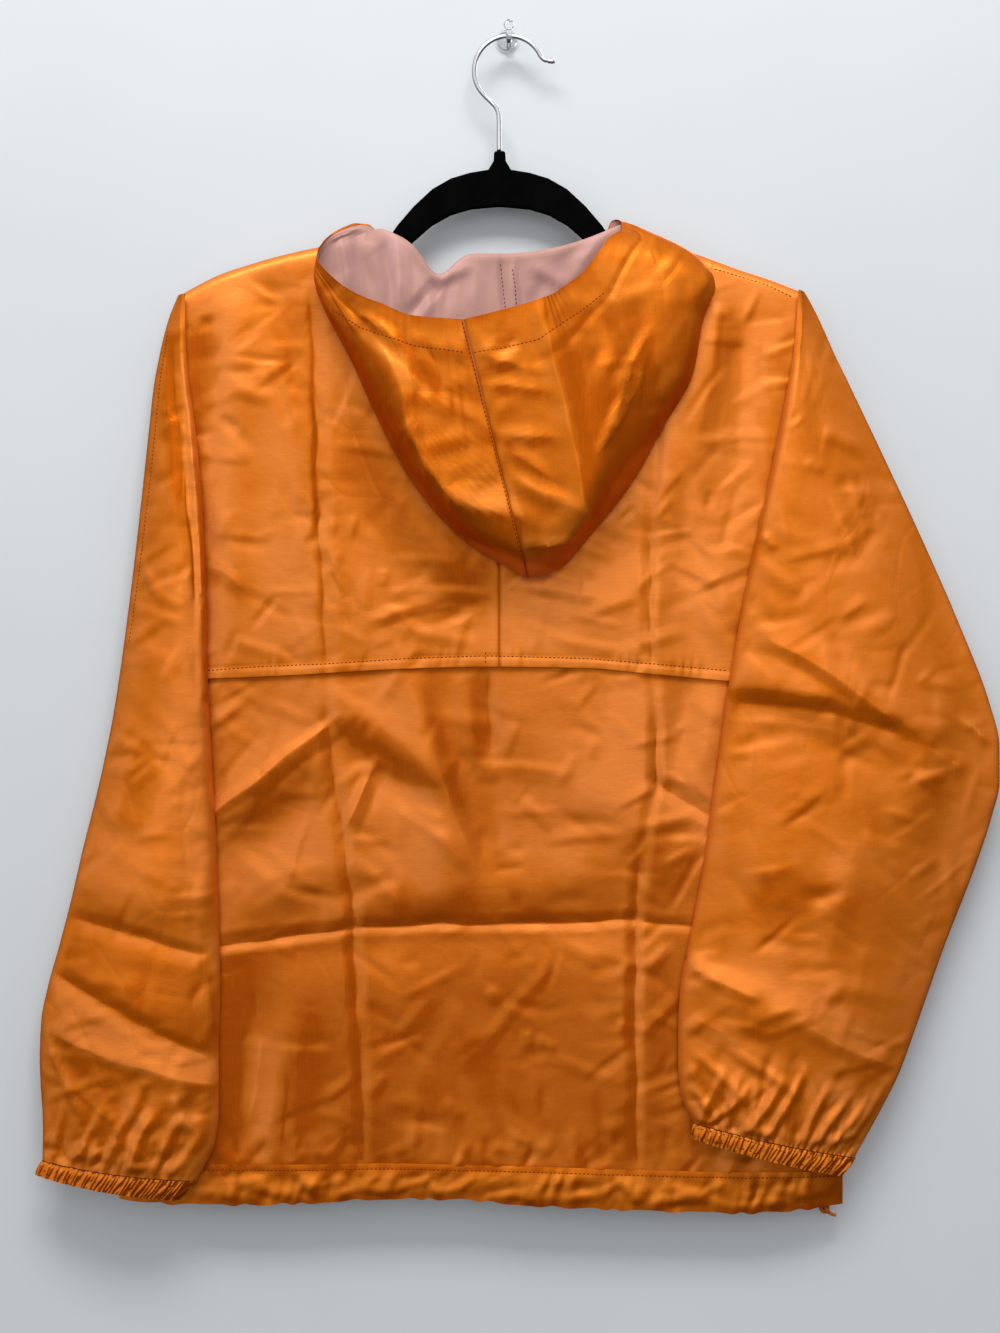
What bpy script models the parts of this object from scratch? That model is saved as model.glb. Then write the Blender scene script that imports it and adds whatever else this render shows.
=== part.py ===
"""A hooded anorak of thin nylon on a clothes hanger, which hangs on a small clear wall hook.

Metres, +Z up. The wall is the plane y = 0 and the garment hangs on its -Y side with its front to the wall,
so a depth d below means y = -d. The origin is on the wall, at the back of the wall hook. Left and right are
as seen from the room, looking along +Y at the garment's back.

The cloth is a wall of one thickness over grids of points. Each grid is worked out from the short tables
below, whose rows are sections of the garment, and from the depth functions that stack the layers.
"""

import math

import bmesh
import bpy
import numpy as np

# ---------------------------------------------------------------- driving dimensions

CLOTH_WALL = 0.0012
CASING_WALL = 0.0022
SEAM_GAP = 0.0003
SHARP_ANGLE = math.radians(50)

HANGER_DEPTH = 0.018
HANGER_THICKNESS = 0.006
CENTRE_X = -0.0055

# How the back and front turn over the hanger's arms and stand off it lower down.
SHOULDER_ROLL = 0.009
SHOULDER_HALF = 0.0056
RIDGE_HALF = 0.0006
BACK_SWELL = 0.007
FRONT_SWELL = 0.0055
SWELL_FALL = 0.10
YOKE_LIFT = 0.0024
FOLD_FADE_OUT = 0.02
FOLD_FADE_IN = 0.03
YOKE_EDGE_FADE = (0.030, 0.002)

# Side seams: the layers meet at this depth, this far either side of it, from SIDE_CLOSING_Z down.
SIDE_DEPTH = 0.015
SIDE_HALF = 0.0008
SIDE_POWER = 8
SIDE_CLOSING_Z = -0.40

NECK_HALF = 0.093
BACK_NECK_DROP = 0.027
FRONT_NECK_DROP = 0.082

# Seams where one wall laps another.
UNDERARM_Z = -0.501
YOKE_UNDERLAP = 0.040
ARMHOLE_TIP_LAP = 0.0005
ARMHOLE_LAP = 0.004
ARMHOLE_LAP_FROM_Z = (-0.205, -0.250)
SEAM_LAP = 0.002
LAP_RISE = 0.0017

# Distances below a panel's top edge at which it turns over the hanger.
TOP_ROWS = (0.0, 0.0010, 0.0030, 0.0065, 0.0130)
YOKE_ROWS = 7
LOWER_BACK_ROWS = 12
FRONT_ROWS = 9
LOWER_BACK_STEP = 0.006
LOWER_BACK_UNDER_SLEEVE = {"left": 0.0045, "right": 0.0060}

CUFF_GATHERS = 60
CUFF_GATHER_DEPTH = 0.0007
CUFF_WALL = 0.0010
HEM_GATHERS = 24
HEM_GATHER_DEPTH = 0.0011
HEM_PUFF = 0.0012
POINTS_PER_HEM_GATHER = 4

# Sleeve rings: points across each face, half the thickness of a fold, how far the seam allowance turns in.
SLEEVE_ACROSS = 14
SLEEVE_OUTER_WALL = 4
SLEEVE_INNER_WALL = 6
FOLD_HALF = 0.0025
SLEEVE_TUCK = 0.0035
SLEEVE_FULLNESS = 0.8
ROWS_ABOVE = 7
ROWS_BELOW = 12

# Hood strips: how the cloth rolls over the neck seam, and how far off the yoke it hangs.
HOOD_STRIPS = 17
HOOD_FAR = 5
HOOD_NEAR = 7
HOOD_NECK_ROLL = 0.0075
NECK_TUCK = 0.0018
HOOD_OFF_YOKE = 0.0030
# The roll's points: share of the roll's height, share of the way out to the yoke's room side.
HOOD_ROLL = ((0.0, 0.0), (0.65, 0.08), (1.0, 0.5), (0.55, 1.0))
HOOD_BELOW_ROLL = 0.004
HOOD_FOLD_POWER = 6
HOOD_ROW_POWER = 1.3

HANGER_TIP_X = 0.2190
HANGER_TIP_ROUND = (0.003, 0.004)
HANGER_ARM_FROM_X = 0.1040
HANGER_ARM_POINTS = 6
HANGER_ARM_HEIGHT = 0.0200
HANGER_TIP_HEIGHT = 0.0140
HANGER_UNDER_CLOTH = 0.0018
HANGER_EDGE = 0.0022

WIRE_RADIUS = 0.0017
HOOK_RADIUS = 0.0262
HOOK_CENTRE = (0.0015, -0.0290)
HOOK_TURN = (212, 35)
HOOK_POINTS = 40

BASE_RADIUS = 0.0075
BASE_THICKNESS = 0.0030
BASE_Z = -0.001
ARM_RADIUS = 0.0019
BALL_RADIUS = 0.0040
BALL_DEPTH = 0.0252

KNOT = (0.2385, -0.8828)
KNOT_RADII = (0.0026, 0.0016)
KNOT_TURN_RADII = (0.0024, 0.0015)
CORD_RADIUS = 0.0013

# ---------------------------------------------------------------- section tables

# The shoulder line, left tip to right tip: x, z. Between the neck points it is only a guide.
SHOULDER = (
    (-0.247, -0.1990),
    (-0.226, -0.1870),
    (-0.200, -0.1770),
    (-0.152, -0.1640),
    (-0.0985, -0.1550),
    (-0.0055, -0.1500),
    (0.0875, -0.1530),
    (0.130, -0.1630),
    (0.175, -0.1790),
    (0.208, -0.1900),
    (0.223, -0.1965),
)

# The front panel's sides, which are armhole seam above the underarm and side seam below it:
# z, left x, right x.
BODY_SIDES = (
    (-0.1970, -0.247, 0.223),
    (-0.2370, -0.253, 0.225),
    (-0.3130, -0.259, 0.230),
    (-0.4050, -0.267, 0.236),
    (-0.4630, -0.277, 0.243),
    (-0.5010, -0.2885, 0.250),
    (-0.6890, -0.290, 0.250),
    (-0.8800, -0.291, 0.252),
)

# The back's largest folds, which yoke and lower back share: the two ends (x, z), how far the fold stands
# towards the room (a trough if below 0), and its half width.
BACK_FOLDS = (
    (-0.143, -0.240, -0.136, -0.480, 0.0018, 0.019),
    (-0.136, -0.480, -0.108, -0.830, 0.0020, 0.019),
    (0.116, -0.310, 0.104, -0.480, 0.0018, 0.019),
    (0.104, -0.480, 0.096, -0.830, 0.0020, 0.019),
    (-0.190, -0.686, 0.110, -0.668, -0.0022, 0.021),
    (-0.010, -0.530, 0.020, -0.640, -0.0022, 0.030),
    (-0.205, -0.590, -0.140, -0.528, 0.0016, 0.018),
    (-0.060, -0.255, -0.075, -0.430, -0.0016, 0.024),
)

# Hem edge of the yoke: x, z.
YOKE_HEM = (
    (-0.223, -0.4850),
    (-0.154, -0.4820),
    (-0.088, -0.4780),
    (-0.015, -0.4760),
    (0.056, -0.4770),
    (0.101, -0.4810),
    (0.165, -0.4870),
)

# Drawcord casing at the garment's hem: x, top z, bottom z.
HEM = (
    (-0.291, -0.8510, -0.8755),
    (-0.236, -0.8480, -0.8770),
    (-0.154, -0.8480, -0.8755),
    (-0.090, -0.8470, -0.8720),
    (-0.040, -0.8480, -0.8725),
    (0.020, -0.8495, -0.8770),
    (0.099, -0.8520, -0.8810),
    (0.180, -0.8540, -0.8830),
    (0.252, -0.8550, -0.8790),
)

# Sleeves from shoulder tip to cuff. Each row is a section: where its inner fold and its outer fold lie
# (x, z), the depth of the outer fold, how far the outer layer swells towards the room, how far the inner
# layer stands off the body, and how deep the gathers are.
SLEEVE_COLUMNS = ("inner_x", "inner_z", "outer_x", "outer_z", "outer_depth", "swell", "lift", "gather")
SLEEVES = {
    "right": (
        (0.2170, -0.2040, 0.2235, -0.2045, 0.0175, 0.000, 0.0028, 0.0),
        (0.2150, -0.2300, 0.2400, -0.2310, 0.0170, 0.001, 0.0018, 0.0),
        (0.2090, -0.2660, 0.2600, -0.2710, 0.0165, 0.005, 0.0018, 0.0),
        (0.1970, -0.3270, 0.2870, -0.3280, 0.0170, 0.009, 0.0018, 0.0),
        (0.1790, -0.4090, 0.3260, -0.4140, 0.0180, 0.013, 0.0018, 0.0),
        (0.1630, -0.5010, 0.3620, -0.5050, 0.0190, 0.015, 0.0021, 0.0),
        (0.1570, -0.5450, 0.3700, -0.5490, 0.0195, 0.015, 0.0021, 0.0),
        (0.1520, -0.5790, 0.3630, -0.5880, 0.0200, 0.015, 0.0022, 0.0),
        (0.1450, -0.6290, 0.3480, -0.6320, 0.0205, 0.015, 0.0024, 0.0),
        (0.1350, -0.6810, 0.3280, -0.6830, 0.0210, 0.016, 0.0028, 0.0),
        (0.1270, -0.7340, 0.3080, -0.7390, 0.0220, 0.017, 0.0034, 0.0008),
        (0.1270, -0.7710, 0.2930, -0.7790, 0.0240, 0.017, 0.0042, 0.0022),
        (0.1300, -0.7950, 0.2800, -0.8040, 0.0260, 0.016, 0.0052, 0.0032),
        (0.1380, -0.8132, 0.2590, -0.8410, 0.0280, 0.012, 0.0060, 0.0022),
    ),
    "left": (
        (-0.2400, -0.2080, -0.2465, -0.2075, 0.0175, 0.000, 0.0028, 0.0),
        (-0.2395, -0.2320, -0.2570, -0.2310, 0.0175, 0.002, 0.0018, 0.0),
        (-0.2370, -0.2610, -0.2640, -0.2610, 0.0180, 0.005, 0.0018, 0.0),
        (-0.2310, -0.3060, -0.2690, -0.3050, 0.0185, 0.009, 0.0018, 0.0),
        (-0.2240, -0.3980, -0.2790, -0.3980, 0.0200, 0.014, 0.0018, 0.0),
        (-0.2220, -0.5010, -0.2930, -0.5030, 0.0210, 0.018, 0.0021, 0.0),
        (-0.2190, -0.5560, -0.3040, -0.5590, 0.0215, 0.020, 0.0021, 0.0),
        (-0.2160, -0.6110, -0.3170, -0.6120, 0.0220, 0.021, 0.0022, 0.0),
        (-0.2140, -0.6700, -0.3310, -0.6720, 0.0225, 0.022, 0.0026, 0.0),
        (-0.2130, -0.7140, -0.3430, -0.7150, 0.0230, 0.022, 0.0030, 0.0005),
        (-0.2140, -0.7540, -0.3490, -0.7550, 0.0240, 0.022, 0.0036, 0.0012),
        (-0.2140, -0.7880, -0.3480, -0.7890, 0.0250, 0.021, 0.0044, 0.0020),
        (-0.2140, -0.8170, -0.3460, -0.8190, 0.0260, 0.019, 0.0056, 0.0030),
        (-0.2300, -0.8560, -0.3460, -0.8430, 0.0280, 0.013, 0.0075, 0.0022),
    ),
}
UNDERARM_ROW = 5

# Free edge of each cuff: x, z at its inner and outer fold.
CUFF_EDGES = {
    "right": (0.1370, -0.8250, 0.2490, -0.8550),
    "left": (-0.2440, -0.8710, -0.3510, -0.8540),
}

# Each hood half from the centre-front of the neck round to the centre-back seam. A row is one strip of the
# cloth from the neck seam to the face edge: the angle round the neck seam (0 front, 180 back), how far it
# folds down over the yoke, the fold at the foot of the bag (x, z, depth), the ridge where the bag's side
# turns into its face (share of the way up, depth), and the face edge (x, z, depth).
HOOD_COLUMNS = (
    "neck_angle", "hangs", "fold_x", "fold_z", "fold_depth",
    "ridge", "ridge_depth", "rim_x", "rim_z", "rim_depth",
)
HOODS = {
    "left": (
        (0, 0.0, -0.0060, -0.2280, 0.0108, 0.50, 0.0108, -0.0060, -0.2140, 0.0112),
        (28, 0.0, -0.0520, -0.2080, 0.0112, 0.50, 0.0112, -0.0520, -0.1880, 0.0118),
        (52, 0.0, -0.0840, -0.1780, 0.0125, 0.50, 0.0125, -0.0860, -0.1580, 0.0128),
        (72, 0.0, -0.0950, -0.1490, 0.0132, 0.50, 0.0140, -0.1090, -0.1425, 0.0150),
        (84, 0.0, -0.1010, -0.1460, 0.0210, 0.50, 0.0230, -0.1236, -0.1490, 0.0260),
        (94, 0.5, -0.1380, -0.1640, 0.0340, 0.50, 0.0350, -0.1350, -0.1600, 0.0370),
        (104, 0.9, -0.1435, -0.1870, 0.0390, 0.50, 0.0450, -0.1400, -0.1740, 0.0490),
        (114, 1.0, -0.1370, -0.2080, 0.0380, 0.50, 0.0520, -0.1260, -0.1930, 0.0590),
        (124, 1.0, -0.1168, -0.2465, 0.0370, 0.55, 0.0640, -0.1080, -0.2060, 0.0680),
        (134, 1.0, -0.0920, -0.3000, 0.0375, 0.60, 0.0760, -0.0900, -0.2140, 0.0740),
        (146, 1.0, -0.0640, -0.3480, 0.0385, 0.26, 0.0800, -0.0700, -0.2225, 0.0770),
        (158, 1.0, -0.0339, -0.3805, 0.0400, 0.18, 0.0790, -0.0540, -0.2245, 0.0790),
        (170, 1.0, -0.0080, -0.3980, 0.0420, 0.20, 0.0770, -0.0430, -0.2255, 0.0800),
        (180, 1.0, 0.0150, -0.4105, 0.0440, 0.25, 0.0760, -0.0320, -0.2262, 0.0805),
    ),
    "right": (
        (0, 0.0, -0.0050, -0.2280, 0.0108, 0.50, 0.0108, -0.0050, -0.2140, 0.0112),
        (28, 0.0, 0.0400, -0.2080, 0.0112, 0.50, 0.0112, 0.0400, -0.1880, 0.0118),
        (52, 0.0, 0.0700, -0.1780, 0.0125, 0.50, 0.0125, 0.0700, -0.1580, 0.0128),
        (72, 0.0, 0.0830, -0.1470, 0.0132, 0.50, 0.0140, 0.0800, -0.1400, 0.0150),
        (84, 0.0, 0.0950, -0.1430, 0.0220, 0.50, 0.0250, 0.0850, -0.1440, 0.0260),
        (96, 0.8, 0.1500, -0.1760, 0.0330, 0.50, 0.0400, 0.0850, -0.1520, 0.0380),
        (106, 1.0, 0.1545, -0.1930, 0.0350, 0.50, 0.0480, 0.0760, -0.1600, 0.0500),
        (116, 1.0, 0.1450, -0.2200, 0.0355, 0.50, 0.0540, 0.0660, -0.1740, 0.0590),
        (126, 1.0, 0.1380, -0.2580, 0.0360, 0.50, 0.0600, 0.0540, -0.1905, 0.0680),
        (136, 1.0, 0.1170, -0.2960, 0.0365, 0.50, 0.0690, 0.0410, -0.2010, 0.0740),
        (146, 1.0, 0.0930, -0.3390, 0.0375, 0.40, 0.0780, 0.0330, -0.2075, 0.0790),
        (156, 1.0, 0.0600, -0.3810, 0.0390, 0.14, 0.0840, 0.0240, -0.2115, 0.0820),
        (168, 1.0, 0.0380, -0.4040, 0.0410, 0.17, 0.0790, -0.0020, -0.2190, 0.0815),
        (180, 1.0, 0.0160, -0.4105, 0.0440, 0.25, 0.0760, -0.0310, -0.2262, 0.0805),
    ),
}

# Half outlines of the hanger, from its middle: x from CENTRE_X, z.
HANGER_NECK = ((0.0042, -0.0895), (0.0046, -0.0970), (0.0085, -0.1035))
ARCH_OUTER = (
    (0.0225, -0.1058), (0.0365, -0.1100), (0.0505, -0.1180), (0.0645, -0.1310),
    (0.0765, -0.1450), (0.0840, -0.1560), (0.0925, -0.1590),
)
ARCH_INNER = (
    (0.0930, -0.1790), (0.0800, -0.1715), (0.0665, -0.1590), (0.0480, -0.1435),
    (0.0250, -0.1335), (0.0, -0.1310),
)

# The hanger's wire: straight shank with its bend to the left, then the tip after the round part (x, z).
HOOK_SHANK = (
    (-0.0060, -0.0892), (-0.0060, -0.0800), (-0.0060, -0.0700), (-0.0062, -0.0630),
    (-0.0080, -0.0570), (-0.0120, -0.0524), (-0.0165, -0.0480),
)
HOOK_TIP = ((0.0262, -0.0192), (0.0292, -0.0212), (0.0325, -0.0216), (0.0360, -0.0224))


# ---------------------------------------------------------------- curves and depth functions


def smooth(at, stations, values):
    """The smooth curve through values at the rising stations, read at the points `at`.

    It never overshoots: a slope is the harmonic mean of its neighbours', or 0 at a peak.
    """
    stations = np.asarray(stations, float)
    values = np.asarray(values, float)
    at = np.clip(np.asarray(at, float), stations[0], stations[-1])
    secants = np.diff(values) / np.diff(stations)
    before, after = secants[:-1], secants[1:]
    both = np.where(before * after > 0, before + after, 1.0)
    inner = np.where(before * after > 0, 2 * before * after / both, 0.0)
    slopes = np.concatenate([secants[:1], inner, secants[-1:]])
    step = np.clip(np.searchsorted(stations, at, side="right") - 1, 0, len(stations) - 2)
    width = stations[step + 1] - stations[step]
    t = (at - stations[step]) / width
    near = (1 + 2 * t) * (1 - t) ** 2 * values[step] + t * (1 - t) ** 2 * width * slopes[step]
    far = t * t * (3 - 2 * t) * values[step + 1] + t * t * (t - 1) * width * slopes[step + 1]
    return near + far


def column(table, index):
    return [row[index] for row in table]


def ease(value, start, end):
    """0 before start, 1 after end, and a smooth step between them."""
    t = np.clip((np.asarray(value, float) - start) / (end - start), 0.0, 1.0)
    return t * t * (3 - 2 * t)


def shoulder_z(x):
    return smooth(x, column(SHOULDER, 0), column(SHOULDER, 1))


def neck_share(x):
    """1 at the centre of the neck opening, 0 at the neck points and beyond."""
    across = (np.asarray(x, float) - CENTRE_X) / NECK_HALF
    return np.clip(1 - across**2, 0.0, 1.0)


def back_top_z(x):
    return shoulder_z(x) - BACK_NECK_DROP * neck_share(x)


def front_top_z(x):
    return shoulder_z(x) - FRONT_NECK_DROP * neck_share(x)


def side_x(z, side):
    """x of the body's left or right edge at height z."""
    rising = BODY_SIDES[::-1]
    return smooth(z, column(rising, 0), column(rising, 1 if side == "left" else 2))


def yoke_hem_z(x):
    return smooth(x, column(YOKE_HEM, 0), column(YOKE_HEM, 1))


def hem_z(x, edge):
    return smooth(x, column(HEM, 0), column(HEM, 1 if edge == "top" else 2))


def shoulder_round(below):
    """How far the cloth has turned from the shoulder line down the face of the hanger, 0 to 1."""
    share = np.clip(np.asarray(below, float) / SHOULDER_ROLL, 0.0, 1.0)
    return np.sqrt(1 - (1 - share) ** 2)


def edge_share(x, z):
    """1 at the side seams and 0 over most of the width. There is no such edge above the armpit."""
    left, right = side_x(z, "left"), side_x(z, "right")
    across = np.clip(np.abs((x - (left + right) / 2) / ((right - left) / 2)), 0.0, 1.0)
    return across**SIDE_POWER * ease(-np.asarray(z), -SIDE_CLOSING_Z, -UNDERARM_Z)


def back_folds(x, z):
    """How far the folds move the back towards the room at a point."""
    x, z = np.asarray(x, float), np.asarray(z, float)
    total = np.zeros(np.broadcast(x, z).shape)
    for x0, z0, x1, z1, rise, half_width in BACK_FOLDS:
        along = np.array([x1 - x0, z1 - z0])
        length = np.hypot(*along)
        along = along / length
        run = (x - x0) * along[0] + (z - z0) * along[1]
        off = (x - x0) * along[1] - (z - z0) * along[0]
        starts = ease(run, -FOLD_FADE_OUT, FOLD_FADE_IN)
        ends = starts * (1 - ease(run, length - FOLD_FADE_IN, length + FOLD_FADE_OUT))
        total = total + rise * np.exp(-((off / half_width) ** 2)) * ends
    return total


def layer_depth(x, z, way, swell):
    """Depth of a body layer on the room side (way 1) or the wall side (way -1) of the hanger."""
    below = np.maximum(shoulder_z(x) - z, 0.0)
    grown = swell * (1 - np.exp(-below / SWELL_FALL))
    depth = HANGER_DEPTH + way * (RIDGE_HALF + SHOULDER_HALF * shoulder_round(below) + grown)
    side = SIDE_DEPTH + way * SIDE_HALF
    return depth + (side - depth) * edge_share(x, z)


def yoke_depth(x, z):
    return layer_depth(x, z, 1, BACK_SWELL) + back_folds(x, z)


def lower_depth(x, z):
    """The lower back lies under the yoke, and both come to the same side seams."""
    return yoke_depth(x, z) - YOKE_LIFT * (1 - edge_share(x, z))


def front_depth(x, z):
    return layer_depth(x, z, -1, FRONT_SWELL)


def cover_depth(x, z):
    """Depth of whatever layer of the back lies outermost, yoke or lower back."""
    start, end = YOKE_EDGE_FADE
    on_yoke = ease(np.asarray(z), yoke_hem_z(x) - start, yoke_hem_z(x) - end)
    return lower_depth(x, z) + (yoke_depth(x, z) - lower_depth(x, z)) * on_yoke


def armhole_x(z, side):
    """x of the sleeve's inner fold, which lies on the back's armhole seam."""
    rows = SLEEVES[side][: UNDERARM_ROW + 1][::-1]
    return smooth(z, column(rows, 1), column(rows, 0))


# ---------------------------------------------------------------- making solids


def make_material(name, colour, roughness, metallic=0.0, transmission=0.0):
    material = bpy.data.materials.new(name)
    material.use_nodes = True
    shader = material.node_tree.nodes["Principled BSDF"]
    shader.inputs["Base Color"].default_value = (*colour, 1.0)
    shader.inputs["Roughness"].default_value = roughness
    shader.inputs["Metallic"].default_value = metallic
    shader.inputs["Transmission Weight"].default_value = transmission
    return material


def put(name, mesh, material, collection):
    obj = bpy.data.objects.new(name, mesh)
    mesh.materials.append(material)
    mesh.shade_smooth()
    mesh.set_sharp_from_angle(angle=SHARP_ANGLE)
    collection.objects.link(obj)
    return obj


def cloth(name, grid, material, collection, wall=CLOTH_WALL, tube=False, kept=None):
    """A cloth wall over a grid of points [row][column] = (x, z, depth).

    A tube's last column joins its first. kept(row, column) says whether a cell is cloth.
    """
    rows, columns = len(grid), len(grid[0])
    form = bmesh.new()
    points = [[form.verts.new((x, -d, z)) for x, z, d in row] for row in grid]
    for r in range(rows - 1):
        for c in range(columns if tube else columns - 1):
            if kept and not kept(r, c):
                continue
            right = (c + 1) % columns
            form.faces.new((points[r][c], points[r][right], points[r + 1][right], points[r + 1][c]))
    loose = [v for v in form.verts if not v.link_faces]
    bmesh.ops.delete(form, geom=loose, context="VERTS")
    mesh = bpy.data.meshes.new(name)
    form.to_mesh(mesh)
    form.free()
    obj = put(name, mesh, material, collection)
    solid = obj.modifiers.new("wall", "SOLIDIFY")
    solid.thickness = wall
    solid.offset = 0.0
    return obj


def united(target, others, cutters):
    """Joins the other objects to the target as one body. They stay as hidden guides."""
    for other in others:
        for holder in list(other.users_collection):
            holder.objects.unlink(other)
        cutters.objects.link(other)
        other.hide_render = True
        other.display_type = "WIRE"
        join = target.modifiers.new("join_" + other.name, "BOOLEAN")
        join.operation = "UNION"
        join.object = other


def mesh_from_curve(curve_object, collection):
    """The curve's evaluated mesh, with its caps welded, in place of the curve."""
    graph = bpy.context.evaluated_depsgraph_get()
    mesh = bpy.data.meshes.new_from_object(curve_object.evaluated_get(graph))
    form = bmesh.new()
    form.from_mesh(mesh)
    bmesh.ops.remove_doubles(form, verts=form.verts, dist=1e-6)
    bmesh.ops.recalc_face_normals(form, faces=form.faces)
    form.to_mesh(mesh)
    form.free()
    obj = bpy.data.objects.new(curve_object.name + "_solid", mesh)
    obj.matrix_world = curve_object.matrix_world
    mesh.shade_smooth()
    mesh.set_sharp_from_angle(angle=SHARP_ANGLE)
    collection.objects.link(obj)
    name = curve_object.name
    bpy.data.objects.remove(curve_object)
    obj.name = name
    return obj


def wire(name, points, radius, material, collection, resolution=2):
    """A round wire along the points (x, y, z)."""
    curve = bpy.data.curves.new(name, "CURVE")
    curve.dimensions = "3D"
    curve.bevel_depth = radius
    curve.bevel_resolution = resolution
    curve.use_fill_caps = True
    spline = curve.splines.new("POLY")
    spline.points.add(len(points) - 1)
    for target, (x, y, z) in zip(spline.points, points):
        target.co = (x, y, z, 1.0)
    obj = bpy.data.objects.new(name, curve)
    curve.materials.append(material)
    collection.objects.link(obj)
    return obj


def smooth_path(points, count):
    """count points along the smooth curve through the given points."""
    stations = np.arange(len(points), dtype=float)
    at = np.linspace(0, len(points) - 1, count)
    return list(zip(*(smooth(at, stations, axis) for axis in zip(*points))))


# ---------------------------------------------------------------- body panels

def panel(columns, x_of, top_z, bottom_z, depth, lower_rows):
    """Points of a body panel. x_of(u, z) gives x; the rows are close together at the top edge."""
    top_x = [x_of(u, SHOULDER[0][1]) for u in columns]
    for _ in range(6):
        top_x = [float(x_of(u, top_z(x))) for u, x in zip(columns, top_x)]
    tops = [float(top_z(x)) for x in top_x]
    grid = []
    for below in TOP_ROWS:
        grid.append([z - below for z in tops])
    for share in np.linspace(0, 1, lower_rows + 1)[1:]:
        grid.append(
            [
                (z - TOP_ROWS[-1]) * (1 - share) + float(bottom_z(x_of(u, UNDERARM_Z))) * share
                for u, z in zip(columns, tops)
            ]
        )
    return [
        [(float(x_of(u, z)), z, float(depth(x_of(u, z), z))) for u, z in zip(columns, row)]
        for row in grid
    ]


def yoke_half(side, material, collection):
    """From the armhole, a little under the sleeve's fold, to the centre-back seam."""
    outward = -1 if side == "left" else 1
    seam_x = CENTRE_X + outward * SEAM_GAP / 2

    def x_of(u, z):
        start, end = ARMHOLE_LAP_FROM_Z
        lap = ARMHOLE_TIP_LAP + ARMHOLE_LAP * ease(-z, -start, -end)
        outer = armhole_x(z, side) + outward * lap
        return outer * (1 - u) + seam_x * u

    tip = float(armhole_x(SHOULDER[0][1], side))
    neck = 1 - NECK_HALF / abs(tip - CENTRE_X)
    columns = list(np.linspace(0, neck, 7)) + [neck + 0.02, neck + 0.06]
    columns += list(np.linspace(neck + 0.12, 1, 4))
    grid = panel(columns, x_of, back_top_z, yoke_hem_z, yoke_depth, YOKE_ROWS)
    return cloth("back_yoke_" + side, grid, material, collection)


def lower_back(material, collection):
    """From side seam to side seam. Between the sleeves it runs up under the yoke."""
    left_in = float(armhole_x(UNDERARM_Z, "left")) - LOWER_BACK_UNDER_SLEEVE["left"]
    right_in = float(armhole_x(UNDERARM_Z, "right")) + LOWER_BACK_UNDER_SLEEVE["right"]
    left, right = float(side_x(UNDERARM_Z, "left")), float(side_x(UNDERARM_Z, "right"))
    step = LOWER_BACK_STEP

    def share(x):
        return (x - left) / (right - left)

    columns = [0.0, 0.04, 0.08, share(left_in), share(left_in + step)]
    columns += list(np.linspace(share(left_in + step), share(right_in - step), 16)[1:-1])
    columns += [share(right_in - step), share(right_in), 0.90, 0.95, 1.0]
    top_high = yoke_hem_z(0.0) + YOKE_UNDERLAP
    top_low = UNDERARM_Z - 0.0075
    grid = []
    for r in range(LOWER_BACK_ROWS + 1):
        row = []
        for u in columns:
            x_top = left + (right - left) * u
            inside = left_in + step / 2 < x_top < right_in - step / 2
            z_top = top_high if inside else top_low
            z_bottom = float(hem_z(x_top, "top")) + SEAM_GAP / 2
            z = z_top + (z_bottom - z_top) * r / LOWER_BACK_ROWS
            x = float(side_x(z, "left") * (1 - u) + side_x(z, "right") * u)
            row.append((x, z, float(lower_depth(x, z))))
        grid.append(row)
    return cloth("back_lower", grid, material, collection)


def front_panel(material, collection):
    def x_of(u, z):
        return side_x(z, "left") * (1 - u) + side_x(z, "right") * u

    def bottom(x):
        return hem_z(x, "top") + SEAM_GAP / 2

    width = SHOULDER[-1][0] - SHOULDER[0][0]
    middle = (CENTRE_X - SHOULDER[0][0]) / width
    neck = NECK_HALF / width
    half = [neck, neck * 0.97, neck * 0.88, neck * 0.70, neck * 0.45, neck * 0.20]
    columns = list(np.linspace(0, middle - neck, 7))[:-1] + [middle - step for step in half]
    columns += [middle + step for step in half[::-1]] + list(np.linspace(middle + neck, 1, 7))[1:]
    grid = panel(columns, x_of, front_top_z, bottom, front_depth, FRONT_ROWS)
    return cloth("front_body", grid, material, collection)


def hem_casing(face, material, collection):
    """The turned-up hem that holds the drawcord: a thicker band that the cord gathers."""
    depth = lower_depth if face == "back" else front_depth
    way = 1 if face == "back" else -1
    count = HEM_GATHERS * POINTS_PER_HEM_GATHER
    grid = []
    for share, puff in ((0.0, 0.0), (0.5, HEM_PUFF), (1.0, 0.0)):
        row = []
        for k in range(count + 1):
            u = k / count
            left, right = side_x(HEM[0][1], "left"), side_x(HEM[0][1], "right")
            x = float(left * (1 - u) + right * u)
            top = float(hem_z(x, "top")) - SEAM_GAP / 2
            z = top + (float(hem_z(x, "bottom")) - top) * share
            ends = min(1.0, u * 20, (1 - u) * 20)
            wave = HEM_GATHER_DEPTH * math.sin(2 * math.pi * HEM_GATHERS * u) * ends
            inward = (CASING_WALL - CLOTH_WALL) / 2
            d = float(depth(x, z)) + way * ((puff + 0.5 * wave) * ends + inward)
            row.append((x, z, d))
        grid.append(row)
    return cloth("hem_" + face, grid, material, collection, wall=CASING_WALL)


# ---------------------------------------------------------------- sleeves and cuffs

OPEN_COLUMNS = 2 + SLEEVE_ACROSS + 1 + 1 + SLEEVE_OUTER_WALL + 1


def sleeve_section(side, at):
    """The table's values at the fractional row `at`, by column name."""
    rows = SLEEVES[side]
    return {
        name: float(smooth(at, np.arange(len(rows)), column(rows, index)))
        for index, name in enumerate(SLEEVE_COLUMNS)
    }


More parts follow.
